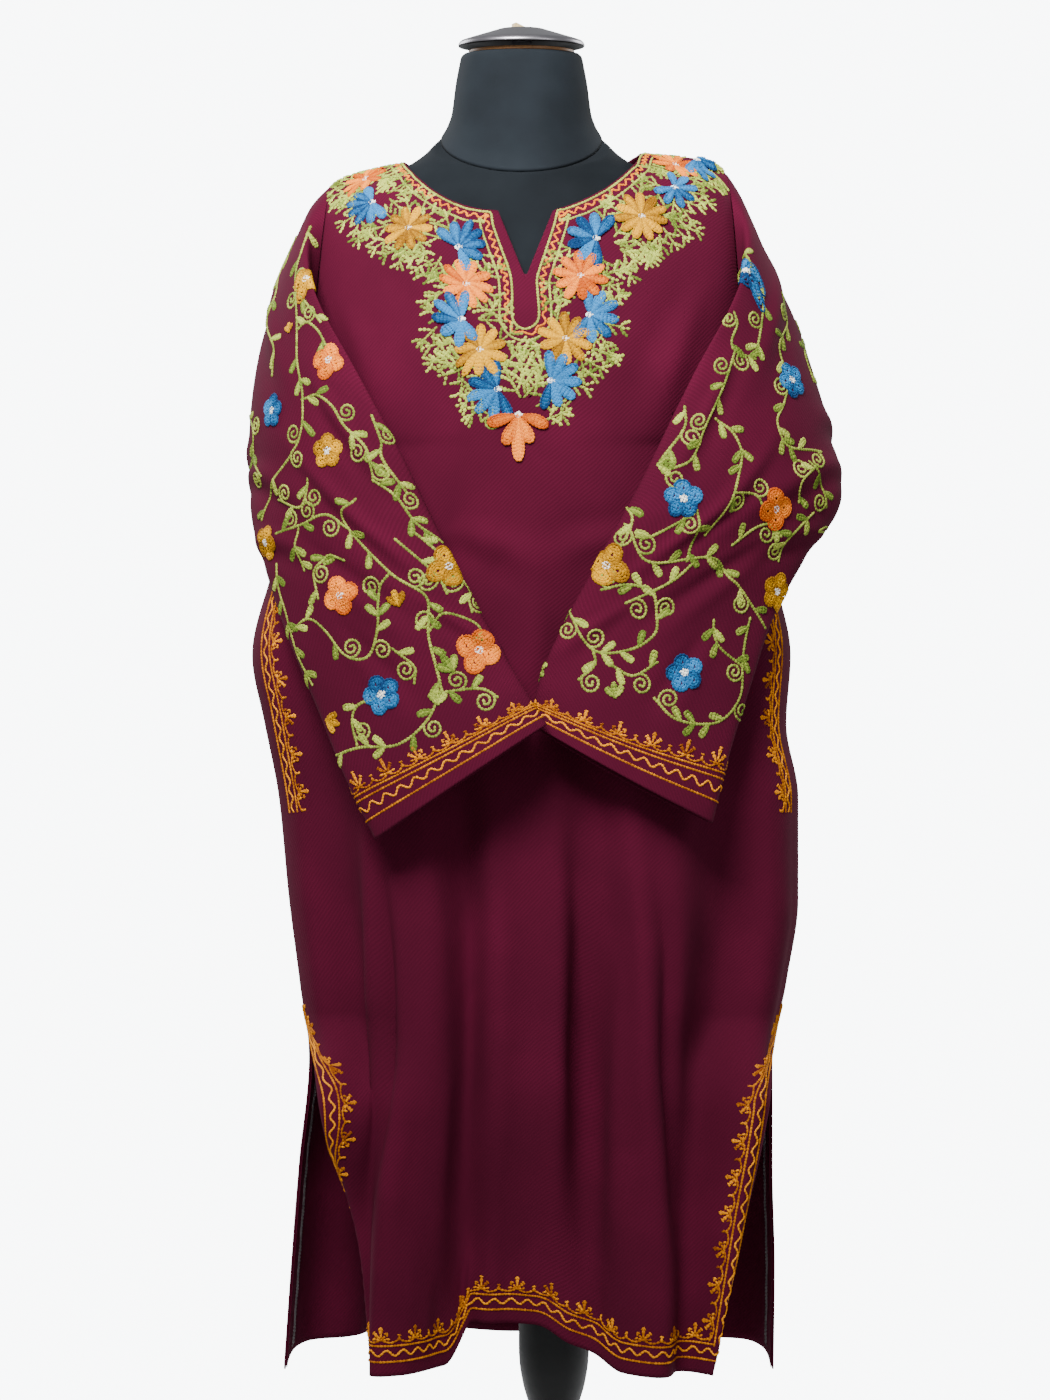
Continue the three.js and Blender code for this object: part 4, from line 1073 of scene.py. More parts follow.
def curve_through(points, step=1.6):
    """A smooth line through the points, in short even steps."""
    p = np.array(points, float)
    if len(p) == 2:
        count = max(int(np.linalg.norm(p[1] - p[0]) / step), 1)
        return p[0] + (p[1] - p[0]) * np.linspace(0, 1, count + 1)[:, None]
    ends = np.vstack([2 * p[0] - p[1], p, 2 * p[-1] - p[-2]])
    found = []
    for a, b, c, d in zip(ends, ends[1:], ends[2:], ends[3:]):
        count = max(int(np.linalg.norm(c - b) / step), 2)
        f = np.linspace(0, 1, count, endpoint=False)[:, None]
        m0, m1, rise = (c - a) / 2, (d - b) / 2, c - b
        found.append(b + m0 * f + (3 * rise - 2 * m0 - m1) * f**2 + (m0 + m1 - 2 * rise) * f**3)
    return np.vstack(found + [p[-1:]])


def along_line(line, share):
    """The point and direction at a share of a line's length."""
    arc = np.concatenate([[0], np.cumsum(np.linalg.norm(np.diff(line, axis=0), axis=1))])
    places = share * arc[-1] + np.array([-0.8, 0, 0.8])
    found = np.stack([np.interp(places, arc, line[:, k]) for k in (0, 1)], -1)
    return found[1], unit(found[2] - found[0])


def heading(angle):
    turn = math.radians(angle)
    return np.array([math.cos(turn), math.sin(turn)])


def petal_rows(base, tip, width, blunt):
    """Rows of stitches that fill a petal or leaf: loops inside each other. blunt is 0 for a pointed
    tip and 1 for a round one."""
    base, tip = np.array(base, float), np.array(tip, float)
    length = np.linalg.norm(tip - base)
    way = (tip - base) / max(length, 1e-6)
    across = np.array([-way[1], way[0]])
    middle = base + way * length / 2
    rows = []
    for k in range(8):
        half = width / 2 - STITCH_PITCH * (k + 0.5)
        reach = length / 2 - STITCH_PITCH * (k + 0.5)
        if half < 0.2 or reach < 0.8:
            break
        turn = np.linspace(0, 2 * np.pi, max(int(2 * length / 1.8), 10))
        x = -np.cos(turn)
        swell = 1 + (0.25 + 0.35 * blunt) * x
        y = np.sign(np.sin(turn)) * np.abs(np.sin(turn)) ** mix(1.5, 0.9, blunt) * swell
        rows.append(middle + way * (x * reach)[:, None] + across * (y * half * 0.86)[:, None])
    spine = length / 2 - STITCH_PITCH * (len(rows) + 0.5)
    if spine > 1 or not rows:
        spine = spine if rows else max(length / 2 - STITCH_PITCH / 2, 1)
        rows.append(curve_through([middle - way * spine, middle + way * spine]))
    return rows


def ring_rows(centre, radius, pitch=STITCH_PITCH):
    """Rows of stitches that fill a disc, one ring inside the other."""
    rows = []
    while radius > 0.7:
        turn = np.linspace(0, 2 * np.pi, max(int(radius * 3.4), 7))
        rows.append(np.stack([np.cos(turn), np.sin(turn)], -1) * radius + centre)
        radius -= pitch
    return rows


class Needle:
    """Collects the stitched lines of each thread on one cloth surface. Motifs are drawn true to
    size round an anchor, whatever the surface does to the flat places there."""

    def __init__(self, surface, seed):
        self.surface = surface
        self.lines = {}
        self.random = np.random.default_rng(seed)
        self.anchor, self.frame = np.zeros(2), np.eye(2)
        self.height = 0.25

    def at(self, anchor):
        """Moves the needle to a flat place; the motifs that follow are laid round it."""
        self.anchor = np.array(anchor, float)
        near = self.anchor + np.array([[-3, 0], [3, 0], [0, -3], [0, 3]])
        p, _ = self.surface.at(near)
        du, dv = (p[1] - p[0]) / 6, (p[3] - p[2]) / 6
        down = unit(dv)
        across = unit(du - down * np.dot(du, down))
        jacobian = np.stack([du, dv], -1)
        true = np.stack([across, down], -1)
        self.frame = np.linalg.lstsq(jacobian, true, rcond=None)[0]
        return self

    def line(self, thread, true, wide=2.4, tone=0.5):
        self.flat_line(thread, self.anchor + np.asarray(true, float) @ self.frame.T, wide, tone)

    def flat_line(self, thread, flat, wide=2.4, tone=0.5):
        flat = np.array(flat, float)
        flat[:, 1] = np.maximum(flat[:, 1], 2)
        points, normals = self.surface.at(flat)
        points = points + normals * self.height
        lift = normals * math.copysign(1, self.height)
        self.lines.setdefault(thread, []).append((points, lift, wide, tone))

    def fill(self, thread, rows, tone, edge=-0.12):
        for k, row in enumerate(rows):
            self.line(thread, row, 2.5, tone + (edge if k == 0 else 0.06 * k))

    def tone(self, spread=0.3):
        return 0.5 + self.random.uniform(-spread, spread)

    def leaf(self, angle, length, width, thread="green", blunt=0.6, base=(0, 0)):
        base = np.array(base, float)
        rows = petal_rows(base, base + heading(angle) * length, width, blunt)
        self.fill(thread, rows, self.tone())

    def dash(self, angle, length, wide, base):
        """A leaflet of one row of stitches, a little bent."""
        bend = heading(angle + 90) * length * self.random.uniform(-0.12, 0.12)
        way = heading(angle) * length
        line = curve_through([base, base + way / 2 + bend, base + way], 1.2)
        swell = np.interp(np.linspace(0, 1, len(line)), (0, 0.7, 1), (0.5, 1.15, 0.9))
        self.line("green", line, wide * swell, self.tone())

    def curl(self, way, hand, radius=8.5, turns=1.6, wide=2.4, thread="green"):
        """A spiral that leaves the anchor along way and winds in to the given hand."""
        centre = heading(way + 90 * hand) * radius
        start = math.radians(way - 90 * hand)
        f = np.linspace(0, 1, max(int(radius * turns * 2.6), 12))
        angle = start + hand * f * turns * 2 * np.pi
        r = radius * (1 - f) ** 0.85 + 1.2 * f
        self.line(thread, np.stack([np.cos(angle) * r, np.sin(angle) * r], -1) + centre, wide, 0.45)

    def round_flower(self, radius, petals, turn, thread):
        """Round petals, each a coil of stitches, with a white knot in the middle."""
        for k in range(petals):
            middle = heading(turn + 360 * k / petals) * radius * 0.55
            self.fill(thread, ring_rows(middle, radius * min(0.5, 1.95 / petals)), self.tone(), -0.2)
        self.fill("white", ring_rows(np.zeros(2), radius * 0.1 + 1.2, 1.5), 0.5)

    def daisy(self, radius, petals, turn, thread, sweep=360, width=0.42):
        """Long petals round a white knot, or a fan of them."""
        gaps = petals if sweep == 360 else petals - 1
        for k in range(petals):
            angle = turn + sweep * (k / gaps - (0 if sweep == 360 else 0.5))
            reach = radius * self.random.uniform(0.93, 1.06)
            self.leaf(angle, reach, radius * width, thread, 0.8, heading(angle) * 1.5)
        self.fill("white", ring_rows(np.zeros(2), 2.2, 1.5), 0.5)

    def tulip(self, angle, radius, thread):
        for turn in (-38, 38, 0):
            self.leaf(angle + turn, radius * (1 if turn else 1.1), radius * 0.5, thread, 0.3)

    def frond(self, angle, length, pairs, width=3.2, wide=2.6):
        """A stem with leaflets in pairs and one at its tip."""
        self.line("green", curve_through([(0, 0), heading(angle) * length * 0.7]), wide, 0.45)
        for k in range(pairs):
            f = 0.15 + 0.5 * k / max(pairs - 1, 1)
            for hand in (-1, 1):
                turn = angle + hand * (48 - 8 * k + self.random.uniform(-6, 6))
                reach = max(length * 0.52 * (1 - 0.3 * f), 9)
                self.dash(turn, reach, width, heading(angle) * length * f)
        self.dash(angle, max(length * 0.4, 8), width, heading(angle) * length * 0.6)

    def vine(self, points, marks, wide=2.6):
        """A stem through flat points. Its marks are spaced evenly along it: l and r a leaf to the
        left or right, L and R a long one, p a pair, c and d a curl to the left or right."""
        line = curve_through(points)
        self.flat_line("green", line, wide, 0.42)
        for k, mark in enumerate(marks):
            if mark == ".":
                continue
            place, way = along_line(line, (k + 0.5) / len(marks))
            self.at(place)
            true = np.linalg.solve(self.frame, way)
            angle = math.degrees(math.atan2(true[1], true[0]))
            long = 20 if mark in "LR" else 14.5
            for hand, letters in ((-1, "lLp"), (1, "rRp")):
                if mark in letters:
                    self.leaf(angle + hand * self.random.uniform(34, 52), long, 6.6)
            if mark in "cd":
                self.curl(angle + (-12 if mark == "c" else 12), -1 if mark == "c" else 1)


# Distances of a border's lines from the cloth's edge
BORDER = {
    "line": 12, "wave": 19, "swing": 2.2, "pitch": 15, "upper": 25, "top": 28.5,
    "step": 31,
}
GOLD_WIDE = 1.9


def border(needle, place, length, mitres, double):
    """A gold border along an edge. place gives the flat place at a distance along the edge and in
    from it; mitres says whether each end turns a corner, where the lines are cut back."""

    def lay(s, d, tone):
        needle.flat_line("gold", place(s, d), GOLD_WIDE, tone)

    def span(d):
        return np.array([d if mitres[0] else 0, length - (d if mitres[1] else 0)])

    b = BORDER
    for d in (b["line"], b["upper"]) + ((b["top"],) if double else ()):
        a, z = span(d)
        s = np.linspace(a, z, max(int((z - a) / 2), 2))
        lay(s, np.full_like(s, d), 0.45)
    a, z = span(b["wave"])
    waves = max(round((z - a) / b["pitch"]), 1)
    s = np.linspace(a, z, int((z - a) / 1.2))
    lay(s, b["wave"] + b["swing"] * np.sin((s - a) / (z - a) * waves * 2 * np.pi), 0.75)
    top = b["top"] if not double else b["top"] + 2.5
    a, z = span(top)
    steps = max(round((z - a) / b["step"]), 1)
    step = (z - a) / steps
    for k in range(steps):
        at = a + (k + 0.5) * step
        for left, right in ((at - step / 2, at), (at, at + step / 2)):
            s = np.linspace(left, right, 10)
            lay(s, top + 1.6 - 2.4 * np.sin((s - left) / (right - left) * np.pi), 0.4)
        sprig(needle, place, at, top + 1.5)
        dot(needle, place, at + step / 2, top + 1.5)
    dot(needle, place, a, top + 1.5)


def flat_petal(needle, ends, width):
    tone = needle.tone()
    for row in petal_rows(ends[0], ends[1], width, 0.9):
        needle.flat_line("gold", row, GOLD_WIDE, tone)


# angle, reach and width of each petal of a sprig
SPRIG = [(0, 11.5, 3.4), (46, 9.5, 3.2), (-46, 9.5, 3.2), (84, 7, 2.6), (-84, 7, 2.6)]


def sprig(needle, place, s, d):
    """A little fan of three long and two short petals."""
    for angle, reach, width in SPRIG:
        turn = math.radians(angle)
        f = np.array([0.22, 1.0]) * reach
        ends = place(s + np.sin(turn) * f, d + np.cos(turn) * f)
        flat_petal(needle, ends, width)


def dot(needle, place, s, d):
    flat_petal(needle, place(np.array([s, s]), np.array([d, d + 4.5])), 3.6)


def side_place(surface, side, v_from):
    """Places along a panel's side edge, from a height down, and in from it."""

    def place(s, d):
        v = v_from + np.asarray(s, float)
        row = np.interp(v, surface.down, np.arange(surface.rows + 1))
        index = np.arange(surface.rows + 1)
        middle = np.interp(row, index, surface.middle)
        width = np.interp(row, index, surface.width)
        edge = -middle * width if side < 0 else (1 - middle) * width
        return np.stack([edge - side * np.asarray(d, float), v], -1)

    return place


def hem_place(surface):
    width, middle, foot = surface.width[-1], surface.middle[-1], surface.down[-1]

    def place(s, d):
        s, d = np.broadcast_arrays(np.asarray(s, float), np.asarray(d, float))
        return np.stack([s - middle * width, foot - d], -1)

    return place


def cuff_place(surface):
    foot = surface.down[-1]

    def place(s, d):
        s, d = np.broadcast_arrays(np.asarray(s, float), np.asarray(d, float))
        width = np.interp(foot - d, surface.down, surface.width)
        return np.stack([s / surface.width[-1] * width, foot - d], -1)

    return place


# Where the borders run down each panel's edges, by the height of their ends
POCKET_BORDER = (1012, 822)
SLIT_BORDER_TOP = 655
POCKET_INSET = 42
TURNING_WIDTH = 25


def height_to_v(surface, side, z):
    """The flat v at a height on a panel's side edge."""
    column = 0 if side < 0 else -1
    return float(np.interp(-z, -surface.points[:, column, 2], surface.down))


def panel_borders(needle):
    surface = needle.surface
    for side in (-1, 1):
        top = height_to_v(surface, side, SLIT_BORDER_TOP)
        border(needle, side_place(surface, side, top), surface.down[-1] - top, (False, True), False)
        top, foot = (height_to_v(surface, side, z) for z in POCKET_BORDER)
        place = side_place(surface, side, top)
        border(needle, lambda s, d: place(s, d + POCKET_INSET), foot - top, (False, False), False)
    border(needle, hem_place(surface), surface.width[-1], (True, True), False)


STITCH_INPUTS = [
    ("Geometry", "NodeSocketGeometry", None),
    ("Stitch length", "NodeSocketFloat", 0.0029),
    ("Stitch height", "NodeSocketFloat", 0.0009),
    ("Unevenness", "NodeSocketFloat", 0.08),
    ("Seed", "NodeSocketInt", 7),
    ("Link", "NodeSocketObject", None),
    ("Thread", "NodeSocketMaterial", None),
]


def stitch_tree():
    """Geometry nodes that lay a chain of stitch links along every line of a mesh. The lines carry
    the cloth's normal, the stitch width and the thread's tone."""
    tree = bpy.data.node_groups.new("Chain stitch", "GeometryNodeTree")
    for name, kind, default in STITCH_INPUTS:
        socket = tree.interface.new_socket(name, in_out="INPUT", socket_type=kind)
        if default is not None:
            socket.default_value = default
    tree.interface.new_socket("Geometry", in_out="OUTPUT", socket_type="NodeSocketGeometry")
    given = add_node(tree, "NodeGroupInput").outputs

    def named(name, kind="FLOAT"):
        node = add_node(tree, "GeometryNodeInputNamedAttribute", {"Name": name}, data_type=kind)
        return node.outputs["Attribute"]

    curve = add_node(tree, "GeometryNodeMeshToCurve", {"Mesh": given["Geometry"]}).outputs[0]
    even = add_node(
        tree, "GeometryNodeResampleCurve",
        {"Curve": curve, "Length": given["Stitch length"]}, mode="LENGTH",
    ).outputs[0]
    tangent = add_node(tree, "GeometryNodeInputTangent").outputs[0]
    upright = add_node(
        tree, "FunctionNodeAlignRotationToVector", {"Vector": named("lift", "FLOAT_VECTOR")},
        axis="Z",
    ).outputs[0]
    turned = add_node(
        tree, "FunctionNodeAlignRotationToVector", {"Rotation": upright, "Vector": tangent},
        axis="X", pivot_axis="Z",
    ).outputs[0]
    chance = add_node(
        tree, "FunctionNodeRandomValue", {"Seed": given["Seed"]}, data_type="FLOAT"
    )
    chance.inputs[2].default_value = -1.0
    chance.inputs[3].default_value = 1.0
    random = chance.outputs[1]
    uneven = compute(tree, "MULTIPLY_ADD", random, given["Unevenness"], 1.0)
    size = add_node(
        tree, "ShaderNodeCombineXYZ",
        {"X": given["Stitch length"], "Y": compute(tree, "MULTIPLY", named("wide"), uneven),
         "Z": compute(tree, "MULTIPLY", given["Stitch height"], uneven)},
    ).outputs[0]
    link = add_node(tree, "GeometryNodeObjectInfo", {"Object": given["Link"]}).outputs["Geometry"]
    links = add_node(
        tree, "GeometryNodeInstanceOnPoints",
        {"Points": even, "Instance": link, "Rotation": turned, "Scale": size},
    ).outputs[0]
    tone = compute(tree, "MULTIPLY_ADD", random, 0.1, named("tone"))
    toned = add_node(
        tree, "GeometryNodeStoreNamedAttribute",
        {"Geometry": links, "Name": "shade", "Value": tone}, data_type="FLOAT", domain="INSTANCE",
    ).outputs[0]
    real = add_node(tree, "GeometryNodeRealizeInstances", {"Geometry": toned}).outputs[0]
    done = add_node(
        tree, "GeometryNodeSetMaterial", {"Geometry": real, "Material": given["Thread"]}
    ).outputs[0]
    output = add_node(tree, "NodeGroupOutput")
    tree.links.new(done, output.inputs[0])
    return tree


def stitch_link():
    """One link of chain stitch, a unit long and wide: a drop that swells out of the link before."""
    sections = ((-0.62, 0.16, 0.35), (-0.2, 0.45, 0.95), (0.3, 0.5, 1.0), (0.62, 0.14, 0.45))
    vertices = []
    for x, half, top in sections:
        vertices += [(x, -half, -0.25), (x, 0, top), (x, half, -0.25)]
    faces = [(3 * i + j, 3 * i + 3 + j, 3 * i + 4 + j, 3 * i + 1 + j) for i in range(3) for j in (0, 1)]
    mesh = bpy.data.meshes.new("stitch link")
    mesh.from_pydata(vertices, [], faces)
    mesh.polygons.foreach_set("use_smooth", [True] * len(mesh.polygons))
    link = bpy.data.objects.new("stitch link", mesh)
    bpy.context.scene.collection.objects.link(link)
    return link


def stitched(name, lines, thread):
    """The stitches of one thread as a piece."""
    counts = [len(points) for points, *_ in lines]
    starts = np.cumsum([0] + counts[:-1])
    edges = np.vstack([
        np.stack([np.arange(n - 1), np.arange(1, n)], -1) + start
        for n, start in zip(counts, starts)
    ])
    points = np.vstack([line[0] for line in lines]) * MM
    mesh = bpy.data.meshes.new(name)
    mesh.from_pydata(points.tolist(), edges.tolist(), [])
    for key, kind, values in (
        ("lift", "FLOAT_VECTOR", np.vstack([line[1] for line in lines])),
        ("wide", "FLOAT", np.concatenate([np.full(n, line[2]) for n, line in zip(counts, lines)]) * MM),
        ("tone", "FLOAT", np.concatenate([np.full(n, line[3]) for n, line in zip(counts, lines)])),
    ):
        layer = mesh.attributes.new(key, kind, "POINT")
        layer.data.foreach_set("vector" if kind == "FLOAT_VECTOR" else "value", values.ravel())
    piece = bpy.data.objects.new(name, mesh)
    bpy.context.scene.collection.objects.link(piece)
    tree = bpy.data.node_groups.get("Chain stitch") or stitch_tree()
    link = stitch_link()
    modifier = piece.modifiers.new("Chain stitch", "NODES")
    modifier.node_group = tree
    values = {
        "Link": link, "Thread": material_of(thread), "Stitch length": settings().stitch_length,
        "Stitch height": settings().stitch_height, "Seed": settings().stitch_seed,
    }
    for item in tree.interface.items_tree:
        if item.in_out == "INPUT" and item.name in values:
            modifier[item.identifier] = values[item.name]
    bpy.context.view_layer.update()
    plain = bpy.data.meshes.new_from_object(piece.evaluated_get(bpy.context.evaluated_depsgraph_get()))
    piece.modifiers.clear()
    piece.data = plain
    plain.name = name
    bpy.data.objects.remove(link)
    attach(piece, "root")
    return piece


def finish_needle(prefix, needle):
    """Makes a piece of each thread's lines."""
    for thread, lines in sorted(needle.lines.items()):
        stitched(f"{prefix}_{thread}", lines, "thread_" + thread)


def overlock(needle, side):
    """A zigzag of white overlock thread, darkened to grey as painted shade, on the inside of the back,
    along the raw edge of a slit's turning.
    """
    surface = needle.surface
    v = np.arange(surface.down[-1] * 0.705, surface.down[-1] - 8, 1.6)
    zigzag = np.where(np.arange(len(v)) % 2, 2.2, -2.2)
    needle.flat_line("grey", side_place(surface, side, 0)(v, TURNING_WIDTH + zigzag), 0.8, 0.5)


def make_overlock():
    needle = Needle(surface_of("back"), 4)
    needle.height = -(CLOTH + 1.5)
    for side in (-1, 1):
        overlock(needle, side)
    finish_needle("overlock", needle)


def make_borders():
    for name in ("front", "back"):
        needle = Needle(surface_of(name), 3)
        panel_borders(needle)
        finish_needle("border_" + name, needle)
    for name in ("sleeve_right", "sleeve_left"):
        surface = surface_of(name)
        needle = Needle(surface, 5)
        border(needle, cuff_place(surface), surface.width[-1], (False, False), True)
        finish_needle("border_" + name, needle)


# The yoke. u, v, radius, petals, turn, sweep and thread of each flower
YOKE_FLOWERS = [
    (-104, 133, 21, 10, 8, 360, "mustard"), (-40, 256, 22, 10, 20, 360, "mustard"),
    (96, 127, 22, 11, 5, 360, "mustard"), (32, 244, 22, 10, 14, 360, "mustard"),
    (-53, 194, 21, 10, 0, 360, "peach"), (44, 188, 22, 10, 12, 360, "peach"),
    (-146, 44, 20, 9, 10, 360, "peach"), (134, 48, 20, 9, 0, 360, "peach"),
    (-7, 312, 26, 4, 90, 150, "peach"), (-138, 96, 23, 7, 158, 200, "blue"),
    (-60, 158, 24, 7, -32, 205, "blue"), (-57, 224, 23, 7, 168, 220, "blue"),
    (-25, 290, 24, 7, 165, 200, "blue"), (126, 91, 20, 7, 30, 250, "blue"),
    (57, 152, 25, 7, 195, 215, "blue"), (52, 221, 24, 7, 12, 215, "blue"),
    (20, 281, 23, 7, 5, 200, "blue"), (153, 26, 18, 6, 20, 190, "blue"),
]
# u, v, way, hand of each curl
YOKE_CURLS = [
    (-108, 98, 200, 1), (-124, 150, 60, -1), (-100, 160, 50, -1), (-82, 176, 120, -1),
    (-66, 240, 110, 1), (-50, 284, 180, -1), (-32, 312, 150, -1), (66, 200, 0, 1),
    (60, 232, 30, 1), (150, 78, 20, 1), (112, 148, 60, 1), (26, 298, 60, -1),
]
# u, v, angle, length, pairs of each listed frond
YOKE_FRONDS = [
    (-2, 292, 262, 40, 3), (-6, 296, 240, 34, 3), (6, 294, 286, 34, 3), (-58, 262, 165, 22, 3),
    (58, 250, 20, 22, 3), (70, 182, -20, 20, 3), (98, 152, 60, 20, 3), (-150, 78, 190, 30, 3),
    (-120, 60, 110, 24, 3), (112, 62, 70, 24, 3), (-26, 226, 210, 24, 3), (20, 214, -40, 24, 3),
    (-90, 160, 190, 24, 3), (80, 160, 10, 24, 3),
]
# The yoke's outer edge, left to right, as u and v
YOKE_EDGE = [
    (-182, 20), (-176, 60), (-162, 104), (-140, 138), (-116, 156), (-90, 172), (-82, 196),
    (-84, 232), (-74, 262), (-54, 284), (-44, 308), (-22, 324), (10, 324), (24, 310), (42, 288),
    (58, 266), (72, 240), (76, 198), (84, 172), (116, 156), (140, 128), (154, 100), (168, 60),
    (172, 16),
]
# The border round the neck slit, left to right
SLIT_LINE = [
    (-31, 127), (-28, 141), (-22, 160), (-15, 181), (-12, 194), (-11, 212), (-11, 226), (-8, 233),
    (-2, 236), (5, 232), (7, 225), (6, 210), (5, 194), (7, 184), (13, 163), (19, 141), (23, 124),
]
NECK_LINES = (0, 4.6, 10.4)
# The wave between the neck lines, and how near the fronds come to each other and to the lines
YOKE = {"step": 1.5, "wave": 8.6, "swing": 1.9, "inset": 2.4, "apart": 9.6, "clear": 4, "tries": 6000}


def neck_edge():
    """The line along the neck opening and round its slit, on the flat front."""
    surface = surface_of("front")
    _, _, uv, _ = opened(surface, front_neckline())
    edge = uv[0][uv[0][:, 1] > 3]
    left, right = edge[edge[:, 0] < -34], edge[edge[:, 0] > 27]
    line = np.vstack([left[::3], SLIT_LINE, right[::3]])
    return line


def moved_out(line, reach):
    """A line moved to its left hand."""
    way = unit(np.gradient(line, axis=0))
    return line + np.stack([-way[:, 1], way[:, 0]], -1) * reach


def evenly(line, step):
    arc = np.concatenate([[0], np.cumsum(np.linalg.norm(np.diff(line, axis=0), axis=1))])
    at = np.linspace(0, arc[-1], int(arc[-1] / step) + 1)
    return np.stack([np.interp(at, arc, line[:, k]) for k in (0, 1)], -1)


def inside(points, loop):
    """Which points lie inside a closed loop."""
    x, y = points[:, None, 0], points[:, None, 1]
    a, b = loop, np.roll(loop, -1, axis=0)
    crosses = (a[:, 1] > y) != (b[:, 1] > y)
    reach = (b[:, 0] - a[:, 0]) * (y - a[:, 1]) / np.where(crosses, b[:, 1] - a[:, 1], 1) + a[:, 0]
    return np.sum(crosses & (x < reach), axis=1) % 2 == 1


def make_yoke():
    """The lines round the neck, the fronds between them and the yoke's edge, and the flowers."""
    needle = Needle(surface_of("front"), 11)
    edge = evenly(curve_through(neck_edge()), YOKE["step"])
    lines = [moved_out(edge, YOKE["inset"] + reach) for reach in NECK_LINES]
    needle.flat_line("green", lines[0], 2.2, 0.6)
    needle.flat_line("green", lines[2], 2.2, 0.6)
    wave = np.sin(np.arange(len(edge)) * YOKE["step"] / YOKE["wave"] * 2 * np.pi)[:, None]
    needle.flat_line("orange", lines[1] + (moved_out(edge, 1) - edge) * wave * YOKE["swing"], 2.0,
                     0.6)
    centres = np.array([f[:2] for f in YOKE_FLOWERS], float)
    reach = np.array([f[2] for f in YOKE_FLOWERS], float)
    loop = np.vstack([YOKE_EDGE, lines[2][::-4]])
    kept = []
    for place in needle.random.uniform((-185, 10), (185, 330), (YOKE["tries"], 2)):
        away = np.linalg.norm(centres - place, axis=1)
        clear = np.all(away > reach * 0.8 + 1) and inside(place[None], loop)[0]
        clear = clear and np.min(np.linalg.norm(lines[2] - place, axis=1)) > YOKE["clear"]
        if clear and all(np.linalg.norm(place - other) > YOKE["apart"] for other in kept):
            kept.append(place)
    for place in kept:
        near = centres[np.argmin(np.linalg.norm(centres - place, axis=1) - reach)]
        angle = math.degrees(math.atan2(*(place - near)[::-1])) + needle.random.uniform(-35, 35)
        needle.at(place - heading(angle) * 6).frond(angle, needle.random.uniform(17, 22), 2, 2.9, 2.0)
    for u, v, angle, length, pairs in YOKE_FRONDS:
        needle.at((u, v)).frond(angle, length, pairs, 3.4)
    for u, v, way, hand in YOKE_CURLS:
        needle.at((u, v)).curl(way, hand, 6.5, 1.4, 2.2)
    finish_needle("yoke", needle)
    needle = Needle(needle.surface, 12)
    for k, (u, v, radius, petals, turn, sweep, thread) in enumerate(YOKE_FLOWERS):
        needle.height = 0.7 + 0.6 * (k % 3)
        needle.at((u, v)).daisy(radius, petals, turn, thread, sweep, 0.4 if sweep > 180 else 0.44)
    needle.at((-7, 312)).leaf(90, 39, 11, "peach", 0.8)
    finish_needle("yoke_flowers", needle)


# The sleeves. Vines: the flat points of each stem, and its marks
RIGHT_VINES = [
    ([(150, 30), (166, 84), (171, 137), (160, 187), (153, 225), (126, 265), (81, 296), (35, 331)],
     "l.rc.l.rp.Ldc.l.r"),
    ([(171, 155), (185, 146), (200, 150), (206, 164)], ".c.r"),
    ([(153, 225), (172, 219), (186, 226), (190, 243), (201, 257), (196, 275), (190, 290)], "rl.cpdLc"),
    ([(190, 290), (206, 299), (212, 321), (232, 326)], "l.cpr."),
    ([(161, 313), (135, 335), (145, 379), (163, 399), (150, 425), (138, 447), (121, 497)], "r.pr.clp.l.r"),
    ([(51, 347), (86, 341), (120, 331), (133, 341)], "lcrc.d"),
    ([(16, 427), (41, 420), (53, 431), (60, 452), (78, 456), (102, 433), (123, 399), (144, 381)],
     "rl.rc.drplc."),
    ([(144, 437), (168, 418), (188, 428), (180, 450)], "c..r"),
    ([(121, 497), (96, 519), (66, 528), (34, 521), (6, 520)], ".rcl.pr.l"),
    ([(121, 499), (140, 503), (152, 509), (158, 521)], "rcl.d"),
    ([(65, 490), (48, 492), (36, 502), (31, 518)], ".rlc"),
    ([(29, 372), (20, 392), (17, 412), (10, 445), (12, 470)], "prplp"),
    ([(79, 345), (66, 360), (61, 380)], ".pl"),
    ([(200, 330), (214, 345), (222, 372), (206, 392), (196, 410)], "l.dr.c"),
    ([(118, 300), (106, 318), (92, 326), (70, 318)], "rc.ld"),
    ([(232, 215), (226, 240), (214, 262), (222, 288)], "lcr.p"),
    ([(176, 345), (190, 372), (186, 392)], ".ld."),
    ([(108, 372), (96, 368), (84, 374), (70, 384), (62, 404)], "lr.cr"),
    ([(104, 452), (112, 470), (104, 484)], "l.d."),
    ([(168, 112), (190, 124), (208, 136)], "dr.l"),
    ([(118, 62), (112, 90), (124, 118), (116, 146), (130, 176), (118, 200)], "lcr.pd.lr."),
    ([(52, 212), (62, 240), (50, 268), (60, 292)], "l.crp.d"),
]
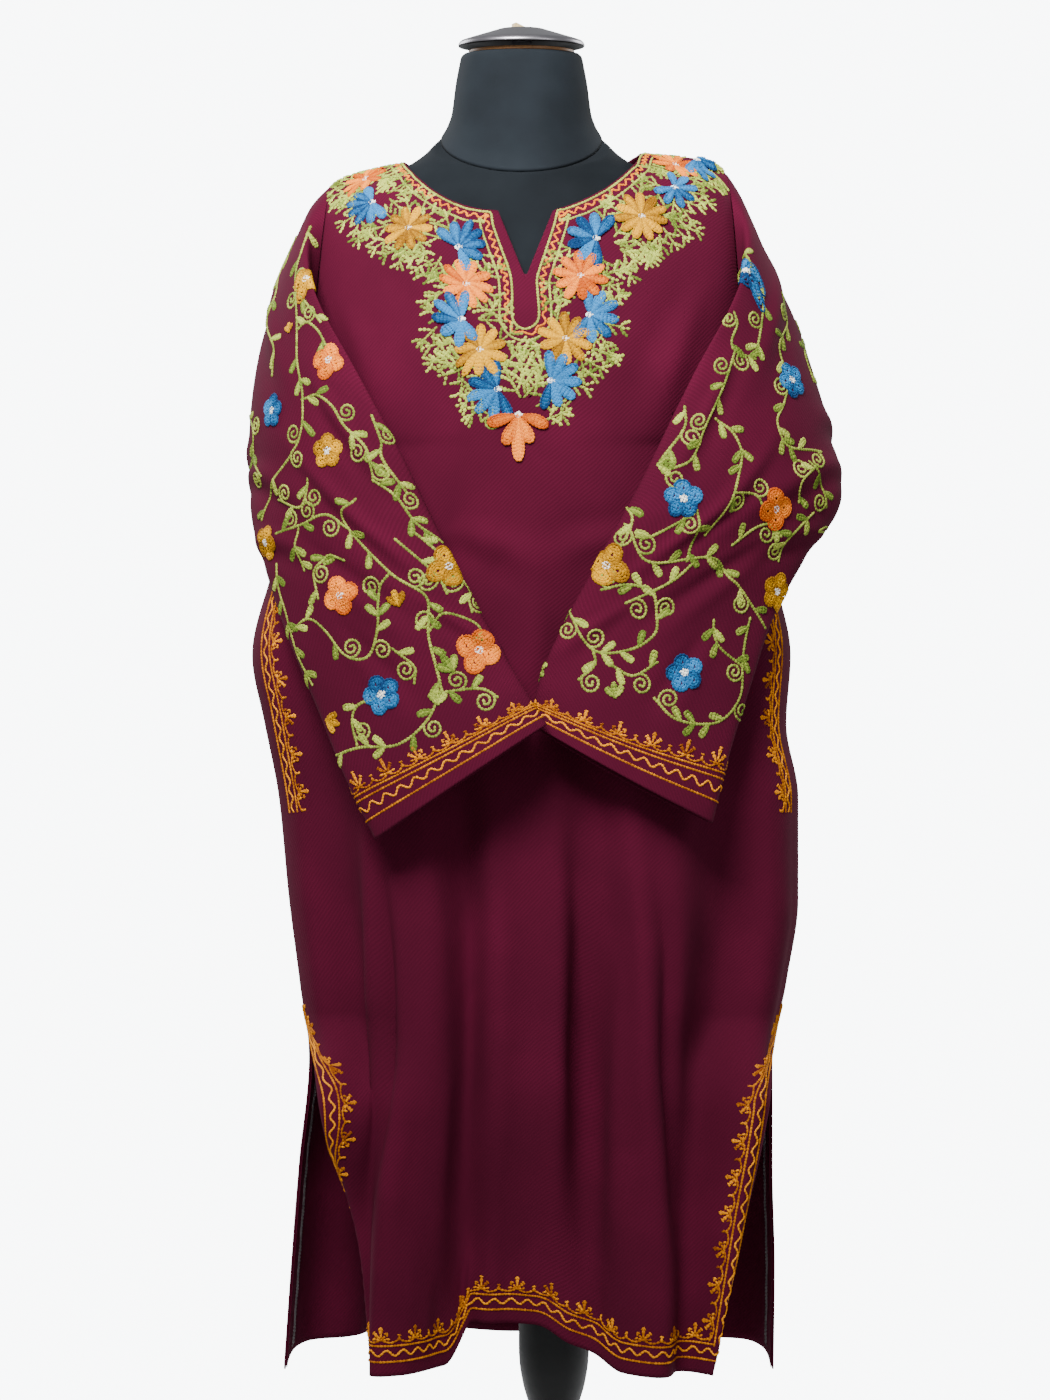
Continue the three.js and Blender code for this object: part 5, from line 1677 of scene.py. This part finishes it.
LEFT_VINES = [
    ([(190, 40), (176, 70), (166, 100), (154, 122), (152, 150), (154, 190)], "rcl.lrcp"),
    ([(195, 134), (186, 151), (188, 165), (180, 179), (154, 193)], "c.r.p"),
    ([(180, 179), (183, 210), (191, 245), (197, 275), (222, 276)], "dclr.clr.d"),
    ([(181, 242), (160, 260), (147, 281), (145, 314), (138, 353)], "lr.pl.r.l"),
    ([(143, 316), (120, 320), (104, 332)], "c.d."),
    ([(105, 222), (108, 240), (113, 256), (95, 279), (54, 281)], "cl.rplr.c"),
    ([(69, 293), (52, 306), (38, 319), (25, 332)], ".l.rc"),
    ([(172, 326), (150, 350), (134, 376)], ".c.r"),
    ([(255, 290), (236, 315), (222, 344)], "r.l."),
    ([(240, 319), (200, 352), (164, 374), (112, 376), (78, 396), (59, 406), (10, 437)],
     ".c.d.lr.plr.lcr."),
    ([(215, 405), (190, 430), (154, 465), (125, 461), (112, 445), (122, 425), (140, 404)],
     "l.rc.dplr.lcr"),
    ([(154, 465), (146, 480), (152, 497)], ".l.d"),
    ([(66, 433), (58, 446), (46, 456), (22, 467)], "pl.r"),
    ([(31, 431), (22, 463), (12, 490), (26, 510), (62, 513), (86, 500)], "l.rc.dlrpl.c"),
    ([(155, 415), (132, 396), (126, 380)], "c.r."),
    ([(150, 400), (172, 394), (190, 396)], "lr.c"),
    ([(224, 210), (214, 236), (228, 256)], "l.dr"),
    ([(100, 366), (90, 352), (74, 350), (56, 360)], "r.clr"),
    ([(60, 296), (74, 312), (62, 330)], "lc.r"),
    ([(36, 340), (44, 362), (36, 382)], "p.lc"),
    ([(172, 330), (196, 344), (212, 340)], "r.l."),
    ([(120, 130), (108, 156), (122, 180), (112, 204)], "lcrp.l"),
    ([(132, 478), (112, 484), (98, 470)], "l.cr"),
    ([(78, 120), (66, 150), (78, 178), (64, 204)], "rclp.r"),
]
# u, v, radius, petals, turn, thread
RIGHT_FLOWERS = [
    (106, 234, 15, 5, 20, "blue"), (73, 488, 17, 5, 60, "blue"), (191, 92, 14, 4, 30, "mustard"),
    (156, 271, 15, 5, 10, "mustard"), (30, 352, 16, 5, 40, "mustard"), (214, 356, 17, 4, 15, "mustard"),
    (203, 178, 14.5, 4, 40, "peach"), (86, 403, 15.5, 4, 10, "peach"), (170, 464, 17.5, 4, 60, "peach"),
]
LEFT_FLOWERS = [
    (184, 84, 15, 5, 0, "blue"), (101, 216, 16.5, 5, 30, "blue"), (192, 312, 17, 5, 80, "blue"),
    (71, 476, 17, 5, 20, "blue"), (85, 336, 17, 4, 50, "peach"), (214, 364, 17, 4, 20, "mustard"),
    (17, 408, 17, 5, 0, "mustard"),
]
# u, v, angle, radius
RIGHT_TULIPS = [(133, 412, -75, 13, "mustard"), (11, 497, 40, 14, "mustard"), (155, 160, -80, 9, "mustard"),
                (112, 508, -60, 12, "green"), (139, 482, -90, 15, "green")]
LEFT_TULIPS = [(118, 506, -60, 12, "green"), (196, 492, 160, 14, "green"), (232, 262, 200, 12, "green")]


def stitch_sleeve(needle, vines, flowers, tulips, back):
    """Both layers of a sleeve: the tables are laid on the front layer, and again, turned over and
    moved along, on the back."""
    surface = needle.surface
    half = np.interp(np.arange(0, 700), surface.down, surface.width) / 2

    def place(u, v):
        v = v - (16 if back else 0)
        width = np.interp(v, np.arange(0, 700), half)
        return (2 * width - u - 4, v) if back else (u, v)

    def clear(u, v):
        width = float(np.interp(v, np.arange(0, 700), half))
        return not back or (24 < u < width - 24 and v > 40)

    threads = {"blue": "peach", "peach": "mustard", "mustard": "blue"} if back else {}
    for points, marks in vines:
        points = [p for p in points if clear(*p)]
        if len(points) > 1:
            swap = str.maketrans("lrLRcd", "rlRLdc") if back else {}
            needle.vine([place(*p) for p in points], marks.translate(swap))
    needle.height = 0.8
    for u, v, angle, radius, thread in tulips:
        if clear(u, v):
            needle.at(place(u, v)).tulip(180 - angle if back else angle, radius, thread)
    for u, v, radius, petals, turn, thread in flowers:
        if clear(u, v):
            needle.at(place(u, v)).round_flower(radius, petals, turn, threads.get(thread, thread))
    needle.height = 0.25


def make_sleeve_embroidery():
    for name, vines, flowers, tulips in (
        ("sleeve_right", RIGHT_VINES, RIGHT_FLOWERS, RIGHT_TULIPS),
        ("sleeve_left", LEFT_VINES, LEFT_FLOWERS, LEFT_TULIPS),
    ):
        needle = Needle(surface_of(name), 21)
        for back in (False, True):
            stitch_sleeve(needle, vines, flowers, tulips, back)
        finish_needle("vines_" + name, needle)


# The stage: camera, lights and floor

def aim(thing, target):
    thing.rotation_euler = (Vector(target) - thing.location).to_track_quat("-Z", "Y").to_euler()


def area_light(name, at, target, size, power, spread):
    data = bpy.data.lights.new(name, "AREA")
    data.shape = "RECTANGLE"
    data.size = data.size_y = size
    data.energy = power
    data.spread = math.radians(spread)
    lamp = bpy.data.objects.new(name, data)
    lamp.location = at
    aim(lamp, target)
    bpy.context.scene.collection.objects.link(lamp)


CAMERA = {"at": (-0.0254, -2.7, 0.925), "lens": 78.9, "sensor": 36}
# A round floor that ends where the photograph's frame does not reach it, in millimetres
FLOOR = {"radius": 3300, "y": -2000, "z": -0.2, "sides": 96}
# name, place, target, size, power in watts and spread in degrees of each light but the key
LIGHTS = [
    ("fill", (1.9, -2.2, 2.2), (0, 0, 1.3), 1.4, 7, 110),
    ("back left", (-1.9, 1.7, 2.3), (0, 0, 1.0), 1.4, 26, 120),
    ("back right", (1.9, 1.7, 2.3), (0, 0, 1.0), 1.4, 22, 120),
]
ROOM_COLOUR = (0.95, 0.98, 1.0, 1)
# How bright the white room is to the eye, and how much light it gives
ROOM_SEEN = 9.0
ROOM_LIGHT = 0.42


def make_stage():
    camera = bpy.data.cameras.new("camera")
    camera.sensor_fit = "VERTICAL"
    camera.sensor_height = CAMERA["sensor"]
    camera.lens = CAMERA["lens"]
    view = bpy.data.objects.new("camera", camera)
    view.location = CAMERA["at"]
    view.rotation_euler = (math.radians(90), 0, 0)
    bpy.context.scene.collection.objects.link(view)
    bpy.context.scene.camera = view
    sides, radius = FLOOR["sides"], FLOOR["radius"]
    angle = np.linspace(0, 2 * np.pi, sides, endpoint=False)
    rim = np.stack([np.cos(angle) * radius, np.sin(angle) * radius + FLOOR["y"],
                    np.full(sides, FLOOR["z"])], -1)
    mesh = bpy.data.meshes.new("stage")
    mesh.from_pydata((rim * MM).tolist(), [], [tuple(range(sides))])
    mesh.materials.append(material_of("stage"))
    floor = bpy.data.objects.new("stage", mesh)
    bpy.context.scene.collection.objects.link(floor)
    world = bpy.data.worlds.new("soft room")
    world.use_nodes = True
    background = world.node_tree.nodes["Background"]
    background.inputs[0].default_value = ROOM_COLOUR
    seen = add_node(world.node_tree, "ShaderNodeLightPath").outputs["Is Camera Ray"]
    strength = compute(world.node_tree, "MULTIPLY_ADD", seen, ROOM_SEEN - ROOM_LIGHT, ROOM_LIGHT)
    world.node_tree.links.new(strength, background.inputs[1])
    bpy.context.scene.world = world
    area_light("key", (-0.55, -1.7, 2.7), (-0.06, 0, 1.5), 1.0, settings().key_power, 60)
    for row in LIGHTS:
        area_light(*row)


# The add-on: settings, an operator for each group of pieces, and the panel that lists them

class PheranSettings(bpy.types.PropertyGroup):
    """Sizes, colours and light that a user would change."""

    stitch_length: FloatProperty(
        name="Stitch length", description="Length of one chain stitch", default=2.9 * MM,
        min=0.0015, max=0.008, subtype="DISTANCE", unit="LENGTH",
    )
    stitch_height: FloatProperty(
        name="Stitch height", description="How far a stitch stands up from the cloth",
        default=0.9 * MM, min=0.0003, max=0.003, subtype="DISTANCE", unit="LENGTH",
    )
    stitch_seed: IntProperty(
        name="Stitch seed", description="Changes how uneven the stitches are", default=7, min=0,
    )
    crease: FloatProperty(
        name="Creases", description="How deep the creases are, as a factor", default=1.5,
        min=0.0, max=3.0, subtype="FACTOR",
    )
    wool: FloatVectorProperty(
        name="Wool", description="Colour of the wool", default=to_linear("42081F")[:3],
        subtype="COLOR", min=0.0, max=1.0,
    )
    cover: FloatVectorProperty(
        name="Form cover", description="Colour of the dress form's cover",
        default=to_linear("13171B")[:3], subtype="COLOR", min=0.0, max=1.0,
    )
    floor: FloatVectorProperty(
        name="Floor", description="Colour of the floor", default=to_linear("F4F5F6")[:3],
        subtype="COLOR", min=0.0, max=1.0,
    )
    key_power: FloatProperty(
        name="Key light", description="Power of the main light", default=25.0, min=0.0,
        subtype="POWER", unit="POWER",
    )


class PHERAN_OT_stage(bpy.types.Operator):
    """Makes the camera, the lights and the floor"""

    bl_idname = "pheran.stage"
    bl_label = "Stage"

    def execute(self, context):
        make_stage()
        return {"FINISHED"}


class PHERAN_OT_panels(bpy.types.Operator):
    """Makes the front and back panels"""

    bl_idname = "pheran.panels"
    bl_label = "Front and back"

    def execute(self, context):
        make_panels()
        return {"FINISHED"}


class PHERAN_OT_sleeves(bpy.types.Operator):
    """Makes the two sleeves"""

    bl_idname = "pheran.sleeves"
    bl_label = "Sleeves"

    def execute(self, context):
        make_sleeves()
        return {"FINISHED"}


class PHERAN_OT_pockets(bpy.types.Operator):
    """Makes the two pocket bags and the turned-in strips of the side slits"""

    bl_idname = "pheran.pockets"
    bl_label = "Pockets and slit turnings"

    def execute(self, context):
        make_pockets()
        make_facings()
        return {"FINISHED"}


class PHERAN_OT_form(bpy.types.Operator):
    """Makes the dress form's torso and neck, its plate, stem and cap, and gives the wooden chip its wood"""

    bl_idname = "pheran.form"
    bl_label = "Dress form"

    def execute(self, context):
        make_form()
        make_cap()
        make_peg()
        return {"FINISHED"}


class PHERAN_OT_stand(bpy.types.Operator):
    """Makes the form's column, pole and base"""

    bl_idname = "pheran.stand"
    bl_label = "Stand"

    def execute(self, context):
        make_stand()
        return {"FINISHED"}


class PHERAN_OT_borders(bpy.types.Operator):
    """Stitches the gold borders and the overlock of the slits' turnings"""

    bl_idname = "pheran.borders"
    bl_label = "Borders"

    def execute(self, context):
        make_borders()
        make_overlock()
        return {"FINISHED"}


class PHERAN_OT_yoke(bpy.types.Operator):
    """Stitches the neck's border and the flowers round it"""

    bl_idname = "pheran.yoke"
    bl_label = "Yoke"

    def execute(self, context):
        make_yoke()
        return {"FINISHED"}


class PHERAN_OT_vines(bpy.types.Operator):
    """Stitches the vines and flowers of the sleeves"""

    bl_idname = "pheran.vines"
    bl_label = "Vines"

    def execute(self, context):
        make_sleeve_embroidery()
        return {"FINISHED"}


OPERATORS = [
    PHERAN_OT_stage, PHERAN_OT_panels, PHERAN_OT_sleeves, PHERAN_OT_pockets, PHERAN_OT_form,
    PHERAN_OT_stand, PHERAN_OT_borders, PHERAN_OT_yoke, PHERAN_OT_vines,
]


class PHERAN_PT_sidebar(bpy.types.Panel):
    """Lists the settings and the operators in the 3D view's sidebar."""

    bl_idname = "PHERAN_PT_sidebar"
    bl_label = "Pheran"
    bl_space_type = "VIEW_3D"
    bl_region_type = "UI"
    bl_category = "Pheran"

    def draw(self, context):
        for name in PheranSettings.__annotations__:
            self.layout.prop(context.scene.pheran, name)
        for operator in OPERATORS:
            self.layout.operator(operator.bl_idname)


CLASSES = [PheranSettings, *OPERATORS, PHERAN_PT_sidebar]


def register():
    for each in CLASSES:
        bpy.utils.register_class(each)
    bpy.types.Scene.pheran = PointerProperty(type=PheranSettings)


def unregister():
    del bpy.types.Scene.pheran
    for each in reversed(CLASSES):
        bpy.utils.unregister_class(each)


def main():
    register()
    for operator in OPERATORS:
        getattr(bpy.ops.pheran, operator.bl_idname.split(".")[1])()


if __name__ == "__main__":
    main()
